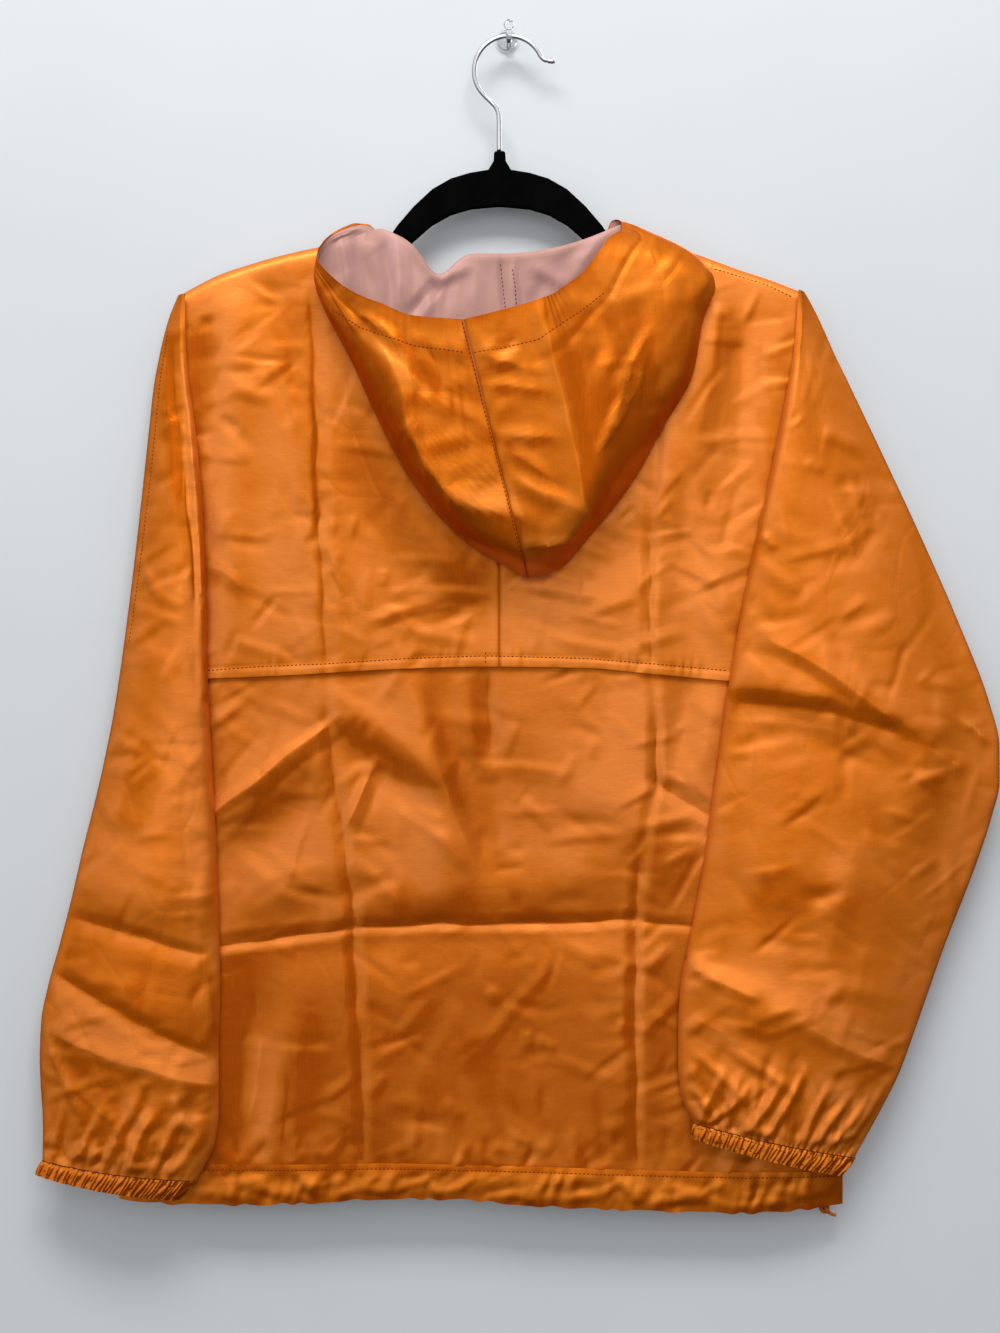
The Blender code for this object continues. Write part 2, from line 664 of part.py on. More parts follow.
def sleeve_ring(side, section, below_underarm):
    """One ring: inner fold, outer layer, outer fold, then the wall layer back to the inner fold.

    Above the underarm the ring ends at the front armhole seam, and its last columns aren't used.
    """
    outward = -1 if side == "left" else 1
    inner = np.array([section["inner_x"], section["inner_z"]])
    outer = np.array([section["outer_x"], section["outer_z"]])

    def across(q):
        x, z = inner + (outer - inner) * q
        return float(x), float(z)

    def room_depth(q):
        x, z = across(0.0)
        start = float(cover_depth(x, z)) + section["lift"] + 2 * FOLD_HALF
        end = section["outer_depth"] + FOLD_HALF
        return start + (end - start) * q + section["swell"] * math.sin(math.pi * q) ** SLEEVE_FULLNESS

    def body_depth(q):
        """Just off the body's back, and level with its side seam beyond that."""
        x, z = across(q)
        return float(cover_depth(x, z)) + section["lift"]

    x0, z0 = across(0.0)
    tuck = min(SLEEVE_TUCK, abs(outer[0] - inner[0]) * 0.3)
    start_depth = float(cover_depth(x0, z0)) + section["lift"]
    ring = [
        (x0 + outward * tuck, z0, start_depth),
        (x0, z0, start_depth + FOLD_HALF),
    ]
    first = tuck / max(abs(outer[0] - inner[0]), 1e-6)
    for k, q in enumerate(np.linspace(first, 1 - first / 2, SLEEVE_ACROSS + 1)):
        x, z = across(q)
        ripple = section["gather"] * (1 if k % 2 else -1)
        if k in (0, SLEEVE_ACROSS):
            ripple = 0.0
        ring.append((x, z, room_depth(q) + ripple))
    x1, z1 = across(1.0)
    ring.append((x1, z1, section["outer_depth"]))

    seam_x = float(side_x(z1, side)) - outward * SEAM_LAP
    seam_q = min(0.94, max(0.06, (seam_x - inner[0]) / (outer[0] - inner[0])))
    wall_start = section["outer_depth"] - FOLD_HALF
    for k, q in enumerate(np.linspace(1 - first / 2, seam_q, SLEEVE_OUTER_WALL + 1)):
        x, z = across(q)
        share = k / SLEEVE_OUTER_WALL
        if below_underarm:
            end = body_depth(seam_q)
        else:
            end = float(front_depth(seam_x, z)) + LAP_RISE
            x += (seam_x - across(seam_q)[0]) * share
        ring.append((x, z, wall_start + (end - wall_start) * share))
    for q in np.linspace(seam_q, first, SLEEVE_INNER_WALL + 1)[1:-1]:
        x, z = across(q)
        ring.append((x, z, body_depth(q)))
    return ring


def sleeve(side, material, collection):
    stations = list(np.linspace(0, UNDERARM_ROW, ROWS_ABOVE + 1))
    stations += list(np.linspace(UNDERARM_ROW, len(SLEEVES[side]) - 1, ROWS_BELOW + 1)[1:])
    grid = [
        sleeve_ring(side, sleeve_section(side, at), at >= UNDERARM_ROW - 1e-6) for at in stations
    ]

    def kept(row, col):
        return row >= ROWS_ABOVE or col < OPEN_COLUMNS - 1

    return cloth("sleeve_" + side, grid, material, collection, tube=True, kept=kept)


def evenly(ring, count):
    """count points at equal steps along the closed ring."""
    closed = np.array(ring + ring[:1])
    steps = np.concatenate([[0], np.cumsum(np.linalg.norm(np.diff(closed, axis=0), axis=1))])
    at = np.linspace(0, steps[-1], count, endpoint=False)
    return np.stack([np.interp(at, steps, closed[:, axis]) for axis in range(3)], axis=1)


def cuff(side, material, collection):
    """The elastic casing: a short band whose gathers run all the way round."""
    last = sleeve_section(side, len(SLEEVES[side]) - 1)
    last["gather"] = 0.0
    top = evenly(sleeve_ring(side, last, True), CUFF_GATHERS * 2)
    edge = dict(last)
    edge["inner_x"], edge["inner_z"], edge["outer_x"], edge["outer_z"] = CUFF_EDGES[side]
    bottom = evenly(sleeve_ring(side, edge, True), CUFF_GATHERS * 2)
    middle = top.mean(axis=0)
    down = np.array([0.0, -(SEAM_GAP + CLOTH_WALL / 2), 0.0])
    grid = []
    for share in (0.0, 0.5, 1.0):
        line = (top + down) * (1 - share) + bottom * share
        ahead = np.roll(line, -1, axis=0) - np.roll(line, 1, axis=0)
        out = np.stack([-ahead[:, 2], np.zeros(len(line)), ahead[:, 0]], axis=1)
        out /= np.linalg.norm(out, axis=1, keepdims=True)
        toward = np.sign(np.sum(out * (line - middle), axis=1, keepdims=True))
        depth = CUFF_GATHER_DEPTH * np.where(np.arange(len(line)) % 2, 1, -1)[:, None]
        grid.append([tuple(point) for point in line + out * toward * depth])
    return cloth("cuff_" + side, grid, material, collection, wall=CUFF_WALL, tube=True)


# ---------------------------------------------------------------- hood


def neck_point(angle, side):
    """x, z and depth of the neck seam, at an angle round it from centre front."""
    turn = math.radians(angle)
    outward = -1 if side == "left" else 1
    tuck = NECK_TUCK * (1 - float(ease(angle, 90, 105)))
    x = CENTRE_X + outward * ((NECK_HALF - tuck) * math.sin(turn) + SEAM_GAP / 2)
    if angle < 90:
        z = float(shoulder_z(x)) - FRONT_NECK_DROP * math.cos(turn) ** 2
        inside = LAP_RISE * min(1.0, 3 * math.cos(turn))
        return x, z - SEAM_LAP * math.cos(turn), float(front_depth(x, z)) + inside
    z = float(shoulder_z(x)) - BACK_NECK_DROP * math.cos(turn) ** 2
    return x, z + SEAM_GAP, float(yoke_depth(x, z))


def hood_strip(side, section):
    """Points of one strip of the hood, from the neck seam to the face edge."""
    x, z, depth = neck_point(section["neck_angle"], side)
    z += SEAM_GAP + CLOTH_WALL / 2
    fold = np.array([section["fold_x"], section["fold_z"]])
    rim = np.array([section["rim_x"], section["rim_z"]])
    off = HOOD_OFF_YOKE + CLOTH_WALL / 2
    hanging = [(x, z + HOOD_NECK_ROLL * up, depth + off * out) for up, out in HOOD_ROLL]
    top = np.array([x, z - HOOD_BELOW_ROLL])
    for k in range(HOOD_FAR):
        w = k / HOOD_FAR
        px, pz = top + (fold - top) * w
        lies = float(yoke_depth(px, pz)) + HOOD_OFF_YOKE
        hanging.append((px, pz, lies + (section["fold_depth"] - lies) * w**HOOD_FOLD_POWER))
    hanging.append((fold[0], fold[1], section["fold_depth"]))
    ridge, rise = section["ridge"], section["ridge_depth"] - section["fold_depth"]
    for k in range(1, HOOD_NEAR + 1):
        w = (k / HOOD_NEAR) ** HOOD_ROW_POWER
        px, pz = fold + (rim - fold) * w
        if w < ridge:
            near = section["fold_depth"] + rise * math.sqrt(1 - (1 - w / ridge) ** 2)
        else:
            past = (w - ridge) / (1 - ridge)
            near = section["ridge_depth"] + (section["rim_depth"] - section["ridge_depth"]) * past
        hanging.append((px, pz, near))
    hanging = np.array(hanging)
    straight = []
    for k in range(len(hanging)):
        w = k / (len(hanging) - 1)
        start = np.array([x, z, depth])
        middle = np.array([fold[0], fold[1], section["fold_depth"]])
        end = np.array([rim[0], rim[1], section["rim_depth"]])
        straight.append(start * (1 - w) ** 2 + 2 * middle * w * (1 - w) + end * w * w)
    return hanging * section["hangs"] + np.array(straight) * (1 - section["hangs"])


def hood_half(side, material, collection):
    rows = HOODS[side]
    outward = -1 if side == "left" else 1
    grid = []
    for at in np.linspace(0, len(rows) - 1, HOOD_STRIPS):
        section = {
            name: float(smooth(at, np.arange(len(rows)), column(rows, index)))
            for index, name in enumerate(HOOD_COLUMNS)
        }
        section["hangs"] = min(1.0, max(0.0, section["hangs"]))
        strip = hood_strip(side, section)
        if at in (0, len(rows) - 1):
            strip[:, 0] += outward * SEAM_GAP / 2
        grid.append([tuple(point) for point in strip])
    return cloth("hood_" + side, grid, material, collection)


# ---------------------------------------------------------------- hanger, hooks and knot


def hanger_rails(side):
    """Upper and lower outline of one half, paired point by point from the middle to the tip: x, z."""
    upper = [(0.0, HANGER_NECK[0][1])] + list(HANGER_NECK) + list(ARCH_OUTER)
    arm = np.linspace(HANGER_ARM_FROM_X, HANGER_TIP_X, HANGER_ARM_POINTS)
    tops = [(x, float(shoulder_z(CENTRE_X + side * x)) - HANGER_UNDER_CLOTH) for x in arm]
    inner = ARCH_INNER[::-1]
    reach = ARCH_OUTER[-1][0]
    lower = []
    for x, _ in upper:
        at = x * inner[-1][0] / reach
        lower.append((at, float(smooth(at, column(inner, 0), column(inner, 1)))))
    for x, z in tops:
        share = (x - arm[0]) / (arm[-1] - arm[0])
        lower.append((x, z - HANGER_ARM_HEIGHT + (HANGER_ARM_HEIGHT - HANGER_TIP_HEIGHT) * share))
    tip_out, tip_in = HANGER_TIP_ROUND
    tip_x, tip_z = HANGER_TIP_X + tip_out, tops[-1][1]
    upper = upper + tops + [(tip_x, tip_z - tip_in)]
    lower = lower + [(tip_x, lower[-1][1] + tip_in)]
    return [[(CENTRE_X + side * x, z) for x, z in rail] for rail in (upper, lower)]


def hanger_body(material, collection):
    """A flat plate between its upper and lower outline, with rounded edges."""
    left_rails, right_rails = hanger_rails(-1), hanger_rails(1)
    upper, lower = (left[:0:-1] + right for left, right in zip(left_rails, right_rails))
    form = bmesh.new()
    faces = []
    for depth in (HANGER_DEPTH - HANGER_THICKNESS / 2, HANGER_DEPTH + HANGER_THICKNESS / 2):
        faces.append([[form.verts.new((x, -depth, z)) for x, z in rail] for rail in (upper, lower)])
    (back_up, back_low), (room_up, room_low) = faces
    for k in range(len(upper) - 1):
        for a, b in ((back_up, back_low), (room_low, room_up), (room_up, back_up), (back_low, room_low)):
            form.faces.new((a[k], a[k + 1], b[k + 1], b[k]))
    for k in (0, -1):
        form.faces.new((back_up[k], back_low[k], room_low[k], room_up[k]))
    bmesh.ops.recalc_face_normals(form, faces=form.faces)
    mesh = bpy.data.meshes.new("hanger_body")
    form.to_mesh(mesh)
    form.free()
    obj = put("hanger_body", mesh, material, collection)
    edge = obj.modifiers.new("rounded_edges", "BEVEL")
    edge.width = HANGER_EDGE
    edge.segments = 2
    edge.limit_method = "ANGLE"
    edge.angle_limit = math.radians(60)
    return obj


def hanger_hook(material, collection):
    """Straight shank, a bend to the left, three quarters of a circle over the wall hook, then a bent tip."""
    cx, cz = HOOK_CENTRE
    turns = np.radians(np.linspace(*HOOK_TURN, 17))
    round_part = [(cx + HOOK_RADIUS * math.cos(a), cz + HOOK_RADIUS * math.sin(a)) for a in turns]
    flat = list(HOOK_SHANK) + round_part + list(HOOK_TIP)
    points = smooth_path([(x, -HANGER_DEPTH, z) for x, z in flat], HOOK_POINTS)
    return wire("hanger_hook", points, WIRE_RADIUS, material, collection)


def wall_hook(material, collection, cutters):
    """A round base on the wall, an arm that passes under the wire, and a ball in front of it."""
    arm_z = HOOK_CENTRE[1] + HOOK_RADIUS - WIRE_RADIUS - SEAM_GAP - ARM_RADIUS
    bpy.ops.mesh.primitive_cylinder_add(
        vertices=20, radius=BASE_RADIUS, depth=BASE_THICKNESS,
        location=(0, -BASE_THICKNESS / 2, BASE_Z), rotation=(math.pi / 2, 0, 0),
    )
    base = bpy.context.object
    base.name = "wall_hook"
    base.data.materials.append(material)
    for holder in list(base.users_collection):
        holder.objects.unlink(base)
    collection.objects.link(base)
    centre_x = HOOK_CENTRE[0]
    # Depth and rise of the arm: level under the wire, then up to the ball.
    side_view = (
        (BASE_THICKNESS / 2, 0.0), (0.0100, 0.0), (0.0190, 0.0),
        (0.0235, 0.0012), (BALL_DEPTH, 0.0045), (BALL_DEPTH, 0.0095),
    )
    route = [(centre_x, -d, arm_z + rise) for d, rise in side_view]
    arm = wire("wall_hook_arm", smooth_path(route, 14), ARM_RADIUS, material, collection)
    bpy.context.view_layer.update()
    arm = mesh_from_curve(arm, collection)
    bpy.ops.mesh.primitive_uv_sphere_add(
        segments=12, ring_count=8, radius=BALL_RADIUS,
        location=(centre_x, -BALL_DEPTH, arm_z + 0.0100),
    )
    ball = bpy.context.object
    ball.name = "wall_hook_ball"
    united(base, [arm, ball], cutters)
    return base


def cord_knot(material, collection, cutters):
    """The knotted end of the hem's drawcord, under the casing's right end, with its short tail."""
    x, z = KNOT
    depth = SIDE_DEPTH
    major, minor = KNOT_RADII
    bpy.ops.mesh.primitive_torus_add(
        major_segments=12, minor_segments=6, major_radius=major, minor_radius=minor,
        location=(x, -depth, z), rotation=(math.radians(70), 0.4, 0),
    )
    knot = bpy.context.object
    knot.name = "hem_cord_knot"
    knot.data.materials.append(material)
    for holder in list(knot.users_collection):
        holder.objects.unlink(knot)
    collection.objects.link(knot)
    major, minor = KNOT_TURN_RADII
    bpy.ops.mesh.primitive_torus_add(
        major_segments=12, minor_segments=6, major_radius=major, minor_radius=minor,
        location=(x + 0.0012, -depth - 0.0003, z - 0.0008), rotation=(0.3, math.radians(65), 0.5),
    )
    second = bpy.context.object
    second.name = "hem_cord_turn"
    route = [
        (x + 0.0015, -depth, z - 0.0015), (x + 0.0045, -depth - 0.0005, z - 0.0040),
        (x + 0.0085, -depth - 0.0005, z - 0.0055),
    ]
    tail = wire("hem_cord_tail", smooth_path(route, 6), CORD_RADIUS, material, collection)
    bpy.context.view_layer.update()
    tail = mesh_from_curve(tail, collection)
    united(knot, [second, tail], cutters)
    return knot


# ---------------------------------------------------------------- the whole object


def main():
    for obj in list(bpy.data.objects):
        bpy.data.objects.remove(obj)
    anorak = bpy.data.collections.new("anorak_on_hanger")
    cutters = bpy.data.collections.new("guides")
    bpy.context.scene.collection.children.link(anorak)
    bpy.context.scene.collection.children.link(cutters)

    orange = {
        name: make_material("nylon_" + name, colour, 0.42)
        for name, colour in {
            "back": (0.55, 0.20, 0.02),
            "yoke": (0.60, 0.22, 0.03),
            "front": (0.52, 0.18, 0.02),
            "sleeve": (0.62, 0.22, 0.03),
            "hood": (0.66, 0.24, 0.02),
            "casing": (0.50, 0.19, 0.02),
        }.items()
    }
    black = make_material("black_flock", (0.004, 0.004, 0.004), 0.95)
    chrome = make_material("chrome_wire", (0.80, 0.80, 0.82), 0.10, metallic=1.0)
    clear = make_material("clear_plastic", (0.92, 0.94, 0.95), 0.08, transmission=0.9)
    cord = make_material("orange_cord", (0.55, 0.20, 0.06), 0.70)

    wall_hook(clear, anorak, cutters)
    hanger_hook(chrome, anorak)
    hanger_body(black, anorak)
    front_panel(orange["front"], anorak)
    lower_back(orange["back"], anorak)
    for side in ("left", "right"):
        yoke_half(side, orange["yoke"], anorak)
        sleeve(side, orange["sleeve"], anorak)
        cuff(side, orange["casing"], anorak)
        hood_half(side, orange["hood"], anorak)
    for face in ("back", "front"):
        hem_casing(face, orange["casing"], anorak)
    cord_knot(cord, anorak, cutters)


main()
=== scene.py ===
"""The looks of the hooded anorak on its hanger: satin nylon with its creases, gathers and stitching.

The cloth's base grids are the CAD solids' own middle surfaces, worked out from the same tables. They are
refined here, then the folds, creases and gathers are added. Metres, +Z up, room on the -Y side; a depth d
means y = -d. Left and right are as seen from the room. Places measured in the photo are given as positions
in it, in pixels from its upper left corner, and seen() turns them into metres.
"""

import math

import bmesh
import bpy
import numpy as np
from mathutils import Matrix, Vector
from mathutils.bvhtree import BVHTree


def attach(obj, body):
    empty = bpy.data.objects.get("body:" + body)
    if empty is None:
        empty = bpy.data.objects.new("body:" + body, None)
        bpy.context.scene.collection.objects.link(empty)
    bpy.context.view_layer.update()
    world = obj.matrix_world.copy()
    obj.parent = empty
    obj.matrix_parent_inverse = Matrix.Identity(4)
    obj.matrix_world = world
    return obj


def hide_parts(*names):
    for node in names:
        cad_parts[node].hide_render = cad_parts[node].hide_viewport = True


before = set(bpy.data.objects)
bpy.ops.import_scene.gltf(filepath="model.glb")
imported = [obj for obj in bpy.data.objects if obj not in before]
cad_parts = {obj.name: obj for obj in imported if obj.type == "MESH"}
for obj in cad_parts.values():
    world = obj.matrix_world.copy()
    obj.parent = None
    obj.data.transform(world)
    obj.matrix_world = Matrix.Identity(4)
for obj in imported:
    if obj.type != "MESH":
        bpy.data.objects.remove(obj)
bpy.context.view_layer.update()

MM = 0.001

# ---------------------------------------------------------------- places in the photo

# The photo's camera: the picture's middle in pixels, where that lies at the hanger, a pixel's size there, how
# far the hanger is in front of the wall, and the camera's distance from it, in mm, then its lens.
MIDDLE_PIXEL = (500, 666.5)
VIEW_X_MM, VIEW_Z_MM = -5.25, -475.9
PIXEL_MM = 0.75
HANGER_MM = 18
VIEW_MM = 1500
VIEW_LENS = 54.0

# How far in front of the wall the places of each table were read, in mm.
BACK_MM = 30
SLEEVE_MM = 45
LEFT_SLEEVE_MM = 47
HOOD_MM = 76
RIM_MM = 70
LINING_MM = 20
NECK_MM = 12


def seen(px, py, depth, digits):
    """x and z in metres of a position in the photo, px across and py down, at a depth in mm."""
    size = PIXEL_MM * (VIEW_MM - (depth - HANGER_MM)) / VIEW_MM
    x = (VIEW_X_MM + (px - MIDDLE_PIXEL[0]) * size) / 1000
    z = (VIEW_Z_MM + (MIDDLE_PIXEL[1] - py) * size) / 1000
    return round(x, digits), round(z, digits)


def points_seen(depth, path):
    """A flat row of positions in pixels, two numbers each, as points in metres."""
    return tuple(seen(px, py, depth, 3) for px, py in zip(path[::2], path[1::2]))


def lines_seen(depth, rows):
    """Rows that begin with a line's two ends in pixels, with the ends in metres."""
    return tuple((*seen(*row[:2], depth, 4), *seen(*row[2:4], depth, 4), *row[4:]) for row in rows)


def patches_seen(depth, rows):
    """Rows of two values and then a polygon's corners in pixels, with the corners as points."""
    return tuple((*row[:2], *points_seen(depth, row[2:])) for row in rows)


def rows_seen(depth, rows):
    """Rows of three values and then a path in pixels, with the path as points."""
    return tuple((*row[:3], *points_seen(depth, row[3:])) for row in rows)


# ---------------------------------------------------------------- sizes shared with the CAD model

CLOTH_WALL = 0.0012
CASING_WALL = 0.0022
SEAM_GAP = 0.0003

HANGER_DEPTH = 0.018
CENTRE_X = -0.0055

# How the back and front turn over the hanger's arms and stand off it lower down.
SHOULDER_ROLL = 0.009
SHOULDER_HALF = 0.0056
RIDGE_HALF = 0.0006
BACK_SWELL = 0.007
FRONT_SWELL = 0.0055
SWELL_FALL = 0.10
YOKE_LIFT = 0.0024
FOLD_FADE_OUT = 0.02
FOLD_FADE_IN = 0.03
YOKE_EDGE_FADE = (0.030, 0.002)

# Side seams: the layers meet at this depth, this far either side of it, from SIDE_CLOSING_Z down.
SIDE_DEPTH = 0.015
SIDE_HALF = 0.0008
SIDE_POWER = 8
SIDE_CLOSING_Z = -0.40

NECK_HALF = 0.093
BACK_NECK_DROP = 0.027
FRONT_NECK_DROP = 0.082

# Seams where one wall laps another.
UNDERARM_Z = -0.501
YOKE_UNDERLAP = 0.040
ARMHOLE_TIP_LAP = 0.0005
ARMHOLE_LAP = 0.004
ARMHOLE_LAP_FROM_Z = (-0.205, -0.250)
SEAM_LAP = 0.002
LAP_RISE = 0.0017
OUTWARD = {"left": -1, "right": 1}

# Distances below a panel's top edge at which it turns over the hanger.
TOP_ROWS = (0.0, 0.0010, 0.0030, 0.0065, 0.0130)
LOWER_BACK_STEP = 0.006

CUFF_GATHERS = 60
HEM_GATHERS = 24
HEM_GATHER_DEPTH = 0.0011
HEM_PUFF = 0.0012

# Sleeve rings: points across each face, half the thickness of a fold, how far the seam allowance turns in (no
# more than a share of the width), and the share of the width that the seam keeps from the folds.
SLEEVE_ACROSS = 14
SLEEVE_OUTER_WALL = 4
SLEEVE_INNER_WALL = 6
FOLD_HALF = 0.0025
SLEEVE_TUCK = 0.0035
TUCK_SHARE = 0.3
SEAM_ROOM = 0.06
SLEEVE_FULLNESS = 0.8
ROWS_ABOVE = 7
ROWS_BELOW = 12

# Hood strips: how the cloth rolls over the neck seam, and how far off the yoke it hangs.
HOOD_STRIPS = 17
HOOD_FAR = 5
HOOD_NEAR = 7
HOOD_NECK_ROLL = 0.0075
NECK_TUCK = 0.0018
NECK_TUCK_ENDS = (90, 105)
HOOD_OFF_YOKE = 0.0030
# The roll's points: share of the roll's height, share of the way out to the yoke's room side.
HOOD_ROLL = ((0.0, 0.0), (0.65, 0.08), (1.0, 0.5), (0.55, 1.0))
HOOD_BELOW_ROLL = 0.004
HOOD_FOLD_POWER = 6
HOOD_ROW_POWER = 1.3

# The hanger's wire: its radius, and its round part's radius, centre (x, z) and first and last angle.
WIRE_RADIUS = 0.0017
HOOK_RADIUS = 0.0262
HOOK_CENTRE = (0.0015, -0.0290)
HOOK_TURN = (212, 35)

# ---------------------------------------------------------------- section tables

# The shoulder line, left tip to right tip: x, z. Between the neck points it is only a guide.
SHOULDER = (
    (-0.247, -0.1990),
    (-0.226, -0.1870),
    (-0.200, -0.1770),
    (-0.152, -0.1640),
    (-0.0985, -0.1550),
    (-0.0055, -0.1500),
    (0.0875, -0.1530),
    (0.130, -0.1630),
    (0.175, -0.1790),
    (0.208, -0.1900),
    (0.223, -0.1965),
)

# The front panel's sides, which are armhole seam above the underarm and side seam below it:
# z, left x, right x.
BODY_SIDES = (
    (-0.1970, -0.247, 0.223),
    (-0.2370, -0.253, 0.225),
    (-0.3130, -0.259, 0.230),
    (-0.4050, -0.267, 0.236),
    (-0.4630, -0.277, 0.243),
    (-0.5010, -0.2885, 0.250),
    (-0.6890, -0.290, 0.250),
    (-0.8800, -0.291, 0.252),
)

# The back's largest folds, which yoke and lower back share: the two ends (x, z), how far the fold stands
# towards the room (a trough if below 0), and its half width.
BACK_FOLDS = (
    (-0.143, -0.240, -0.136, -0.480, 0.0018, 0.019),
    (-0.136, -0.480, -0.108, -0.830, 0.0020, 0.019),
    (0.116, -0.310, 0.104, -0.480, 0.0018, 0.019),
    (0.104, -0.480, 0.096, -0.830, 0.0020, 0.019),
    (-0.190, -0.686, 0.110, -0.668, -0.0022, 0.021),
    (-0.010, -0.530, 0.020, -0.640, -0.0022, 0.030),
    (-0.205, -0.590, -0.140, -0.528, 0.0016, 0.018),
    (-0.060, -0.255, -0.075, -0.430, -0.0016, 0.024),
)

# Hem edge of the yoke: x, z.
YOKE_HEM = (
    (-0.223, -0.4850),
    (-0.154, -0.4820),
    (-0.088, -0.4780),
    (-0.015, -0.4760),
    (0.056, -0.4770),
    (0.101, -0.4810),
    (0.165, -0.4870),
)

# Drawcord casing at the garment's hem: x, top z, bottom z.
HEM = (
    (-0.291, -0.8510, -0.8755),
    (-0.236, -0.8480, -0.8770),
    (-0.154, -0.8480, -0.8755),
    (-0.090, -0.8470, -0.8720),
    (-0.040, -0.8480, -0.8725),
    (0.020, -0.8495, -0.8770),
    (0.099, -0.8520, -0.8810),
    (0.180, -0.8540, -0.8830),
    (0.252, -0.8550, -0.8790),
)

# Sleeves from shoulder tip to cuff. Each row is a section: where its inner fold and its outer fold lie
# (x, z), the depth of the outer fold, how far the outer layer swells towards the room, and how far the inner
# layer stands off the body.
SLEEVE_COLUMNS = ("inner_x", "inner_z", "outer_x", "outer_z", "outer_depth", "swell", "lift")
SLEEVES = {
    "right": (
        (0.2170, -0.2040, 0.2235, -0.2045, 0.0175, 0.000, 0.0028),
        (0.2150, -0.2300, 0.2400, -0.2310, 0.0170, 0.001, 0.0018),
        (0.2090, -0.2660, 0.2600, -0.2710, 0.0165, 0.005, 0.0018),
        (0.1970, -0.3270, 0.2870, -0.3280, 0.0170, 0.009, 0.0018),
        (0.1790, -0.4090, 0.3260, -0.4140, 0.0180, 0.013, 0.0018),
        (0.1630, -0.5010, 0.3620, -0.5050, 0.0190, 0.015, 0.0021),
        (0.1570, -0.5450, 0.3700, -0.5490, 0.0195, 0.015, 0.0021),
        (0.1520, -0.5790, 0.3630, -0.5880, 0.0200, 0.015, 0.0022),
        (0.1450, -0.6290, 0.3480, -0.6320, 0.0205, 0.015, 0.0024),
        (0.1350, -0.6810, 0.3280, -0.6830, 0.0210, 0.016, 0.0028),
        (0.1270, -0.7340, 0.3080, -0.7390, 0.0220, 0.017, 0.0034),
        (0.1270, -0.7710, 0.2930, -0.7790, 0.0240, 0.017, 0.0042),
        (0.1300, -0.7950, 0.2800, -0.8040, 0.0260, 0.016, 0.0052),
        (0.1380, -0.8132, 0.2590, -0.8410, 0.0280, 0.012, 0.0060),
    ),
    "left": (
        (-0.2400, -0.2080, -0.2465, -0.2075, 0.0175, 0.000, 0.0028),
        (-0.2395, -0.2320, -0.2570, -0.2310, 0.0175, 0.002, 0.0018),
        (-0.2370, -0.2610, -0.2640, -0.2610, 0.0180, 0.005, 0.0018),
        (-0.2310, -0.3060, -0.2690, -0.3050, 0.0185, 0.009, 0.0018),
        (-0.2240, -0.3980, -0.2790, -0.3980, 0.0200, 0.014, 0.0018),
        (-0.2220, -0.5010, -0.2930, -0.5030, 0.0210, 0.018, 0.0021),
        (-0.2190, -0.5560, -0.3040, -0.5590, 0.0215, 0.020, 0.0021),
        (-0.2160, -0.6110, -0.3170, -0.6120, 0.0220, 0.021, 0.0022),
        (-0.2140, -0.6700, -0.3310, -0.6720, 0.0225, 0.022, 0.0026),
        (-0.2130, -0.7140, -0.3430, -0.7150, 0.0230, 0.022, 0.0030),
        (-0.2140, -0.7540, -0.3490, -0.7550, 0.0240, 0.022, 0.0036),
        (-0.2140, -0.7880, -0.3480, -0.7890, 0.0250, 0.021, 0.0044),
        (-0.2140, -0.8170, -0.3460, -0.8190, 0.0260, 0.019, 0.0056),
        (-0.2300, -0.8560, -0.3460, -0.8430, 0.0280, 0.013, 0.0075),
    ),
}
UNDERARM_ROW = 5

# Free edge of each cuff: x, z at its inner and outer fold.
CUFF_EDGES = {
    "right": (0.1370, -0.8250, 0.2490, -0.8550),
    "left": (-0.2440, -0.8710, -0.3510, -0.8540),
}

